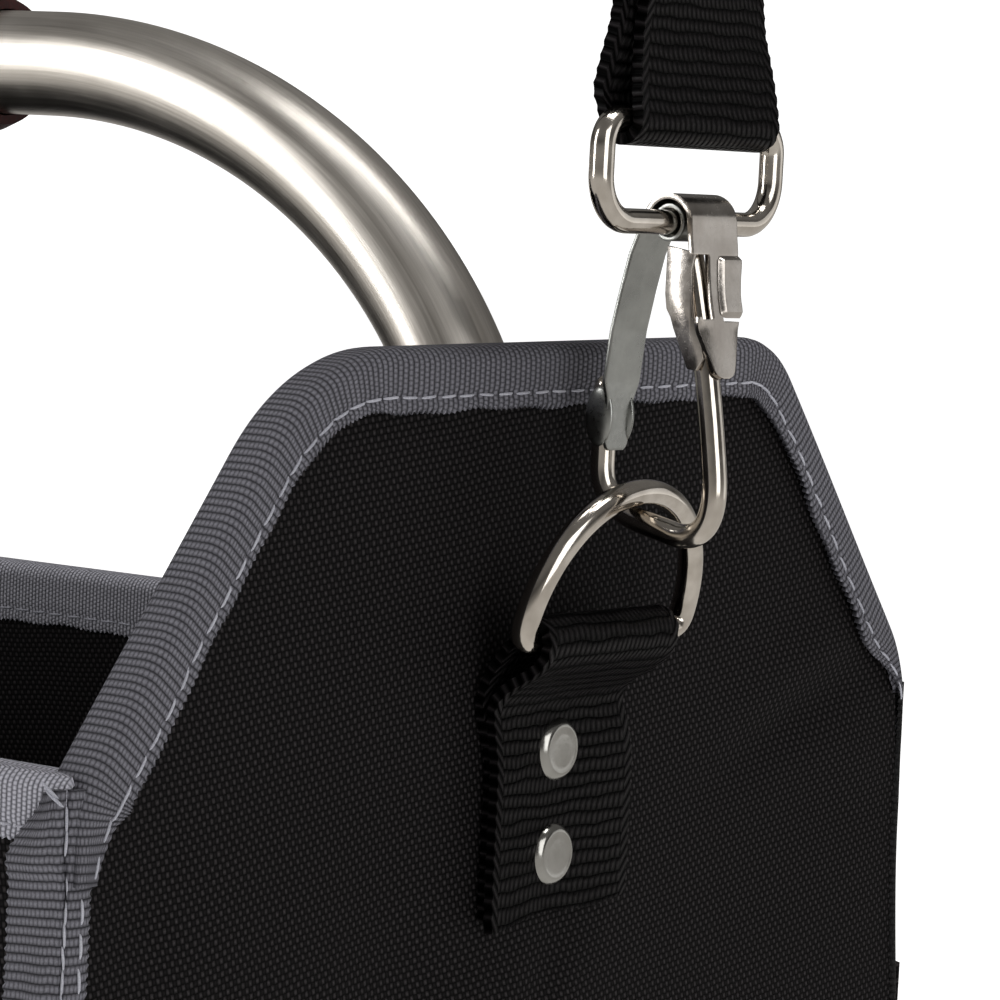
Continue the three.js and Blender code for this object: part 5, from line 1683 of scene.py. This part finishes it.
# %% Zip tapes
def lie_zip_tape(low, high):
    def lie(a, b):
        x = (2 * a - 1) * ZIP_REACH
        z = low + b * (high - low)
        ripple = 0.1 * np.sin(x / 4.7) * np.sin(z / 3)
        tucked = 0.35 * ease((z - 186.5) / 2)
        return x, -(wall_face(x, z) + FIT_GAP + ZIP_TAPE / 2 + ripple - tucked), z, x, z

    return lie


ZIP_SLIT = 0.15
for name, low, high in (
    ("lower", ZIP_HEIGHT - ZIP_DROP, ZIP_HEIGHT - ZIP_SLIT),
    ("upper", ZIP_HEIGHT + ZIP_SLIT, ZIP_HEIGHT + ZIP_DROP),
):
    zip_tape = facing(cloth_grid(140, 6, lie_zip_tape(low, high)), (0, -1, 0))
    thick_cloth(zip_tape, ZIP_TAPE, 0.0)
    finished(
        zip_tape, f"zip_{name}_tape_cloth", "bag", zip_cloth,
        [f"zip_tape_{name}"], smooth=50)
    flat = ((high - low) * MM, 2 * ZIP_REACH * MM)


# %% Zip teeth
def shape_of(piece):
    """A small model's points, in millimetres, and faces, to be copied many times."""
    points = np.array([v.co for v in piece.data.vertices]) / MM
    faces = [list(p.vertices) for p in piece.data.polygons]
    bpy.data.objects.remove(piece)
    return points, faces


def copies(shape, placings):
    """One object made of a shape's copies: placings are (place, half turn or not)."""
    points, faces = [], []
    for place, turned in placings:
        start = sum(len(p) for p in points)
        points.append(shape[0] * ([1, 1, -1] if turned else [1, 1, 1]) + place)
        faces += [[start + k for k in (face[::-1] if turned else face)] for face in shape[1]]
    return new_piece("copies", np.concatenate(points), faces)


clear_selection()
bpy.ops.mesh.primitive_cube_add(size=1, scale=(1.15 * MM, 2.0 * MM, 4.0 * MM))
tooth = bpy.context.object
bpy.ops.object.transform_apply(location=False, rotation=False, scale=True)
for vertex in tooth.data.vertices:
    vertex.co.x *= 1.25 if vertex.co.z > 0 else 0.8
    vertex.co.y *= 0.85 if vertex.co.z > 0 else 1.0
applied(tooth, "BEVEL", width=0.28 * MM, segments=1)
tooth_shape = shape_of(tooth)
TOOTH_PITCH = 2.9
tooth_y = -(float(wall_face(0, ZIP_HEIGHT)) + 2 * FIT_GAP + ZIP_TAPE + 1.1)
tooth_x = np.arange(-ZIP_REACH + 5, ZIP_REACH - 5, TOOTH_PITCH)
placings = [((x, tooth_y, ZIP_HEIGHT - 0.95), False) for x in tooth_x]
placings += [((x + TOOTH_PITCH / 2, tooth_y, ZIP_HEIGHT + 0.95), True) for x in tooth_x]
teeth = copies(tooth_shape, placings)
finished(teeth, "zip_teeth_row", "bag", black_plastic, ["zip_teeth"], smooth=35)
print("zip", len(placings), "teeth,", len(teeth.data.polygons), "faces")

# %% Back pocket
BACK_REACH = FACE_X - 0.5 - FIT_GAP
BACK_TOP = 146.0
BACK_WALL = 2.0


def back_face(x, z):
    across = np.clip(np.cos(np.pi * x / (2 * BACK_REACH)), 0, 1) ** 0.6
    return RIM_WIDTH / 2 + SIDE_FLARE + 5.2 + 9 * across * ease((z - POCKET_FLOOR) / 60)


def lie_back_pocket(a, b):
    x = (2 * a - 1) * BACK_REACH
    z = POCKET_FLOOR + b * (BACK_TOP - POCKET_FLOOR)
    edge = np.minimum(BACK_REACH - np.abs(x), z - POCKET_FLOOR)
    sewn = 3.4 * (1 - ease(edge / 10))
    wave = 0.9 * np.sin(x / 26 + 0.4) * np.sin(z / 30 + x / 80) * ease(edge / 30)
    sag = 1.0 * np.exp(-((x / 60) ** 2)) * ease((z - 90) / 56)
    return x, back_face(x, z) - sewn + wave - sag, z, x, z


back_pocket = facing(cloth_grid(180, 70, lie_back_pocket), (0, 1, 0))
thick_cloth(back_pocket, BACK_WALL)
finished(
    back_pocket, "back_pocket_cloth", "bag", panel_cloth, ["back_pocket"],
    smooth=50)
pocket_x = np.arange(-BACK_REACH + 4, BACK_REACH - 3.9, 0.45)
pocket_section = folded_section(BACK_WALL, TAPE_THICK + FIT_GAP, TAPE_WIDTH)


def at_pocket_edge(station, n, d):
    x = pocket_x[station]
    z = BACK_TOP - EDGE_INSET + 1.5 + n
    a = x / (2 * BACK_REACH) + 0.5
    b = (np.minimum(z, BACK_TOP) - POCKET_FLOOR) / (BACK_TOP - POCKET_FLOOR)
    return x, lie_back_pocket(a, b)[1] + d, z


pocket_tape = facing(lay_tape(pocket_x - pocket_x[0], pocket_section, at_pocket_edge), (0, 0, 1))
thick_cloth(pocket_tape, TAPE_THICK)
finished(
    pocket_tape, "back_pocket_binding_tape", "bag", tape_weave,
    ["back_pocket_binding"], smooth=60)
pocket_seam = seam_of(pocket_x - pocket_x[0], pocket_section, at_pocket_edge)
finished(pocket_seam, "back_pocket_seam_stitches", "bag", grey_thread)
print("back pocket", len(back_pocket.data.polygons), "faces")

# %% [markdown]
# ## Base, feet and sleeves
#
# The base is a stiff cloth-covered panel with a board lying in it. A grey tape runs round
# its edge, and four moulded feet keep it off the ground. Inside each end panel a cloth
# sleeve wraps the tube's leg.

# %% Base panel and its tape
BASE_X, BASE_Y = FACE_X, 116.0
BASE_TOP = 9.0
BASE_THICK = 5.0
BASE_TAPE_LOW, BASE_TAPE_HIGH, BASE_TAPE_WIDTH = 4.2, 15.8, 11.6


def lie_base(a, b):
    x = (2 * a - 1) * BASE_X
    y = (2 * b - 1) * BASE_Y
    return x, y, BASE_TOP, x, y


base = facing(cloth_grid(60, 36, lie_base), (0, 0, 1))
thick_cloth(base, BASE_THICK)
bevelled(base, 1.2, 3)
finished(base, "base_panel_cloth", "bag", panel_cloth, ["base_panel"], smooth=50)


def base_edge_line():
    line = []
    radius = 1.6
    corners = ((BASE_X, BASE_Y), (-BASE_X, BASE_Y), (-BASE_X, -BASE_Y), (BASE_X, -BASE_Y))
    for quarter, (x, y) in enumerate(corners):
        middle = np.array([x - math.copysign(radius, x), y - math.copysign(radius, y)])
        for t in np.radians(90 * quarter + np.linspace(0, 90, 7)):
            line.append(middle + (radius + 0.9) * np.array([math.cos(t), math.sin(t)]))
    line.append(line[0])
    return even_line(np.array(line), 0.5)


band_points, band_left, band_run = base_edge_line()


def lie_base_tape(a, b):
    station = np.round(b * (len(band_run) - 1)).astype(int)
    z = BASE_TAPE_LOW + BASE_TAPE_WIDTH * a
    from_edge = np.minimum(z - BASE_TAPE_LOW, BASE_TAPE_HIGH - z)
    s = band_run[station]
    scallop = 0.28 * np.sin(2 * np.pi * s / RIB_PITCH) * np.exp(-from_edge / 0.5)
    scallop = scallop * np.sign(z - 10)
    seam = np.exp(-(((from_edge - STITCH_INSET) / 0.8) ** 2))
    lift = 0.25 - 0.25 * seam - 0.3 * np.exp(-from_edge / 0.5)
    x, y = (band_points[station] - band_left[station] * lift[:, None]).T
    return x, y, z + scallop, z, s


base_tape = cloth_grid(14, len(band_run) - 1, lie_base_tape)
thick_cloth(base_tape, TAPE_THICK * 0.9, 0.0)
tidied(base_tape)
finished(
    base_tape, "base_binding_tape", "bag", tape_weave, ["base_binding"], smooth=60)


def base_stitches():
    places, alongs, outs = [], [], []
    for height in (6.5, 13.5):
        for s in np.arange(STITCH_PITCH / 2, band_run[-1], STITCH_PITCH):
            k = min(int(np.searchsorted(band_run, s)), len(band_run) - 2)
            out = -band_left[k]
            places.append(np.array([*(band_points[k] + out * 0.75), height]))
            alongs.append(np.array([*(band_points[k + 1] - band_points[k]), 0]))
            outs.append(np.array([*out, 0]))
    return sew_line(places, alongs, outs)


finished(base_stitches(), "base_binding_stitches", "bag", grey_thread)
print("base tape cut", round(float(band_run[-1])), "mm")

# %% Feet
FOOT_X, FOOT_Y = 166.0, 77.0
foot_profile = [
    (0.01, 0.0), (6.4, 0.0), (7.6, 0.25), (8.6, 0.9), (9.3, 1.9), (9.9, 3.3), (9.9, 3.65),
    (9.5, 3.75), (2.7, 3.75), (2.6, 12.6), (5.5, 12.6), (5.6, 13.0), (5.2, 13.7), (4.6, 13.9),
    (0.01, 13.9),
]
for row, y in (("front", -FOOT_Y), ("back", FOOT_Y)):
    for end, x in (("left", -FOOT_X), ("right", FOOT_X)):
        foot = turned_about_x(foot_profile, 40)
        foot.data.transform(Matrix.Rotation(-math.pi / 2, 4, "Y"))
        foot.location = (x * MM, y * MM, 0)
        finished(
            foot, f"{row}_{end}_moulded_foot", "bag", black_plastic,
            [f"{row}_{end}_foot"], smooth=35)
lowest = min(v.co.z for v in foot.data.vertices)
print("feet stand at", round(lowest, 5), "m")


# %% Handle sleeves
SLEEVE_HEIGHT = 206.8
SLEEVE_STEP = 1.2
SLEEVE_FLANGE = 10


def lie_sleeve(a, b):
    radius = TUBE_RADIUS + FIT_GAP + 0.75
    flange_x = FACE_X - END_THICK - FIT_GAP - 0.75
    start = math.acos((flange_x - LEG_X) / radius)
    turns = np.linspace(start, 2 * math.pi - start, 40)
    line = [(flange_x, radius * math.sin(start) + SLEEVE_FLANGE)]
    line += [(LEG_X + radius * math.cos(t), radius * math.sin(t)) for t in turns]
    line.append((flange_x, -radius * math.sin(start) - SLEEVE_FLANGE))
    points, _, run = even_line(np.array(line), SLEEVE_STEP)
    k = a * (len(run) - 1)
    x = np.interp(k, np.arange(len(run)), points[:, 0])
    y = np.interp(k, np.arange(len(run)), points[:, 1])
    z = LEG_FOOT + b * SLEEVE_HEIGHT
    slack = 0.25 * np.sin(z / 9 + y / 4)
    return x - slack * 0.5, y, z, k * SLEEVE_STEP, z


sleeve = facing(cloth_grid(56, 70, lie_sleeve), (-1, 0, 0))
applied(sleeve, "SOLIDIFY", thickness=1.4 * MM, offset=0.0)
finished(
    sleeve, "right_sleeve_cloth", "bag", panel_cloth, ["right_handle_sleeve"],
    smooth=50)
left_sleeve = mirrored(sleeve, "left_sleeve_cloth", "bag", ["left_handle_sleeve"])

# %% [markdown]
# ## Shoulder pad
#
# The pad is a cushion, so cloth simulation gives it its form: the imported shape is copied,
# remeshed evenly, blown up a little with gravity off, and no point may move far. Two
# loops of webbing then hold the strap on top of it.

# %% Pad by cloth simulation
def copied_node(node):
    clear_selection()
    source = bpy.data.objects[node]
    piece = bpy.data.objects.new(node + "_copy", source.data.copy())
    bpy.context.scene.collection.objects.link(piece)
    piece.matrix_world = source.matrix_world
    only(piece)
    bpy.ops.object.mode_set(mode="EDIT")
    bpy.ops.mesh.select_all(action="SELECT")
    bpy.ops.mesh.remove_doubles(threshold=1e-6)
    bpy.ops.object.mode_set(mode="OBJECT")
    return piece


def puffed(piece, voxel, pressure, cap):
    """Swells a closed soft form with Cloth, moves no point further than cap, and smooths it."""
    applied(piece, "REMESH", mode="VOXEL", voxel_size=voxel)
    before = np.array([v.co for v in piece.data.vertices])
    only(piece)
    bpy.ops.object.modifier_add(type="CLOTH")
    cloth = piece.modifiers[-1]
    cloth.settings.use_pressure = True
    cloth.settings.uniform_pressure_force = pressure
    cloth.settings.effector_weights.gravity = 0
    for number in range(1, 21):
        bpy.context.scene.frame_set(number)
    bpy.ops.object.modifier_apply(modifier=cloth.name)
    bpy.context.scene.frame_set(1)
    after = np.array([v.co for v in piece.data.vertices])
    moved = after - before
    far = np.linalg.norm(moved, axis=1, keepdims=True)
    after = before + moved * np.minimum(1, cap / np.maximum(far, 1e-9))
    piece.data.vertices.foreach_set("co", after.ravel())
    return applied(piece, "SUBSURF", levels=1, render_levels=1)


PAD_MIDDLE = STRAP_TURN
PAD_TOP = STRAP_X - STRAP_THICK / 2 - 2 * FIT_GAP
PAD_HALF = 32.5
PAD_DEEP = 11.0
pad = puffed(copied_node("shoulder_pad"), voxel=0.005, pressure=4.0, cap=0.006)
flat = np.array([v.co for v in pad.data.vertices]) / MM
radius = np.hypot(flat[:, 0], flat[:, 2] - PAD_MIDDLE)
angle = np.arctan2(flat[:, 0], flat[:, 2] - PAD_MIDDLE)
quilt = np.cos(np.pi * flat[:, 1] / 15.5) ** 2 * np.cos(np.pi * angle * PAD_TOP / 30) ** 2
limit = np.clip(radius, PAD_TOP - PAD_DEEP, PAD_TOP)
limit = np.where(radius < PAD_TOP - 4, limit + 1.0 * (1 - quilt), limit)
side = np.clip(flat[:, 1], -PAD_HALF, PAD_HALF)
shaped = np.stack([limit * np.sin(angle), side, PAD_MIDDLE + limit * np.cos(angle)], axis=1)
pad.data.vertices.foreach_set("co", (shaped * MM).ravel())
lay_flat(pad.data, side, angle * PAD_TOP)
finished(pad, "shoulder_pad_cushion", "pad", panel_cloth, ["shoulder_pad"])
print("pad", len(pad.data.polygons), "faces")


# %% Pad loops
PAD_LOOP_WIDTH = 16.0
PAD_LOOP_THICK = 1.3
PAD_LOOP_TURN = math.radians(62) * 0.32


def pad_loop(side):
    low = PAD_TOP + FIT_GAP + 0.7
    high = STRAP_X + STRAP_THICK / 2 + FIT_GAP + 0.7
    half = WEB_WIDTH / 2 + 1.2
    bend = 1.0
    ring = []
    for y, r, start in ((half, high, 0), (-half, high, 90), (-half, low, 180), (half, low, 270)):
        centre = (y - math.copysign(bend, y), r - (bend if r == high else -bend))
        for t in np.radians(start + np.linspace(0, 90, 7)):
            ring.append((centre[0] + bend * math.cos(t), centre[1] + bend * math.sin(t)))
    ring.append(ring[0])
    points, _, run = even_line(np.array(ring), 0.6)

    def lie(a, b):
        k = np.round(b * (len(run) - 1)).astype(int) % (len(run) - 1)
        across = (2 * a - 1) * PAD_LOOP_WIDTH / 2
        turn = side * PAD_LOOP_TURN + across / STRAP_X
        r = points[k, 1]
        return r * np.sin(turn), points[k, 0], PAD_MIDDLE + r * np.cos(turn), across, run[k]

    piece = tidied(cloth_grid(14, len(run) - 1, lie))
    applied(piece, "SOLIDIFY", thickness=PAD_LOOP_THICK * MM, offset=0.0)
    return piece, float(run[-1])


for side, end in ((1, "right"), (-1, "left")):
    loop, loop_length = pad_loop(side)
    finished(
        loop, f"{end}_pad_loop_webbing", "pad", black_webbing,
        [f"{end}_pad_loop"], smooth=60)
    loop_flat = (PAD_LOOP_WIDTH * MM, loop_length * MM)
print("pad loop cut", round(loop_length, 1), "mm")

# %% [markdown]
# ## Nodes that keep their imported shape
#
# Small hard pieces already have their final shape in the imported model. They only need the
# finish of the real thing, which is put into their material slot.


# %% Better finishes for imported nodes
def dress(node, finish):
    piece = bpy.data.objects[node]
    piece.data.materials.clear()
    piece.data.materials.append(finish.material)


for node in ("zip_slider", "zip_pull", "zip_right_stop", "zip_left_stop"):
    dress(node, nickel_sheet)
dress("base_board", stiff_board)
dress("strap_slider", black_plastic)
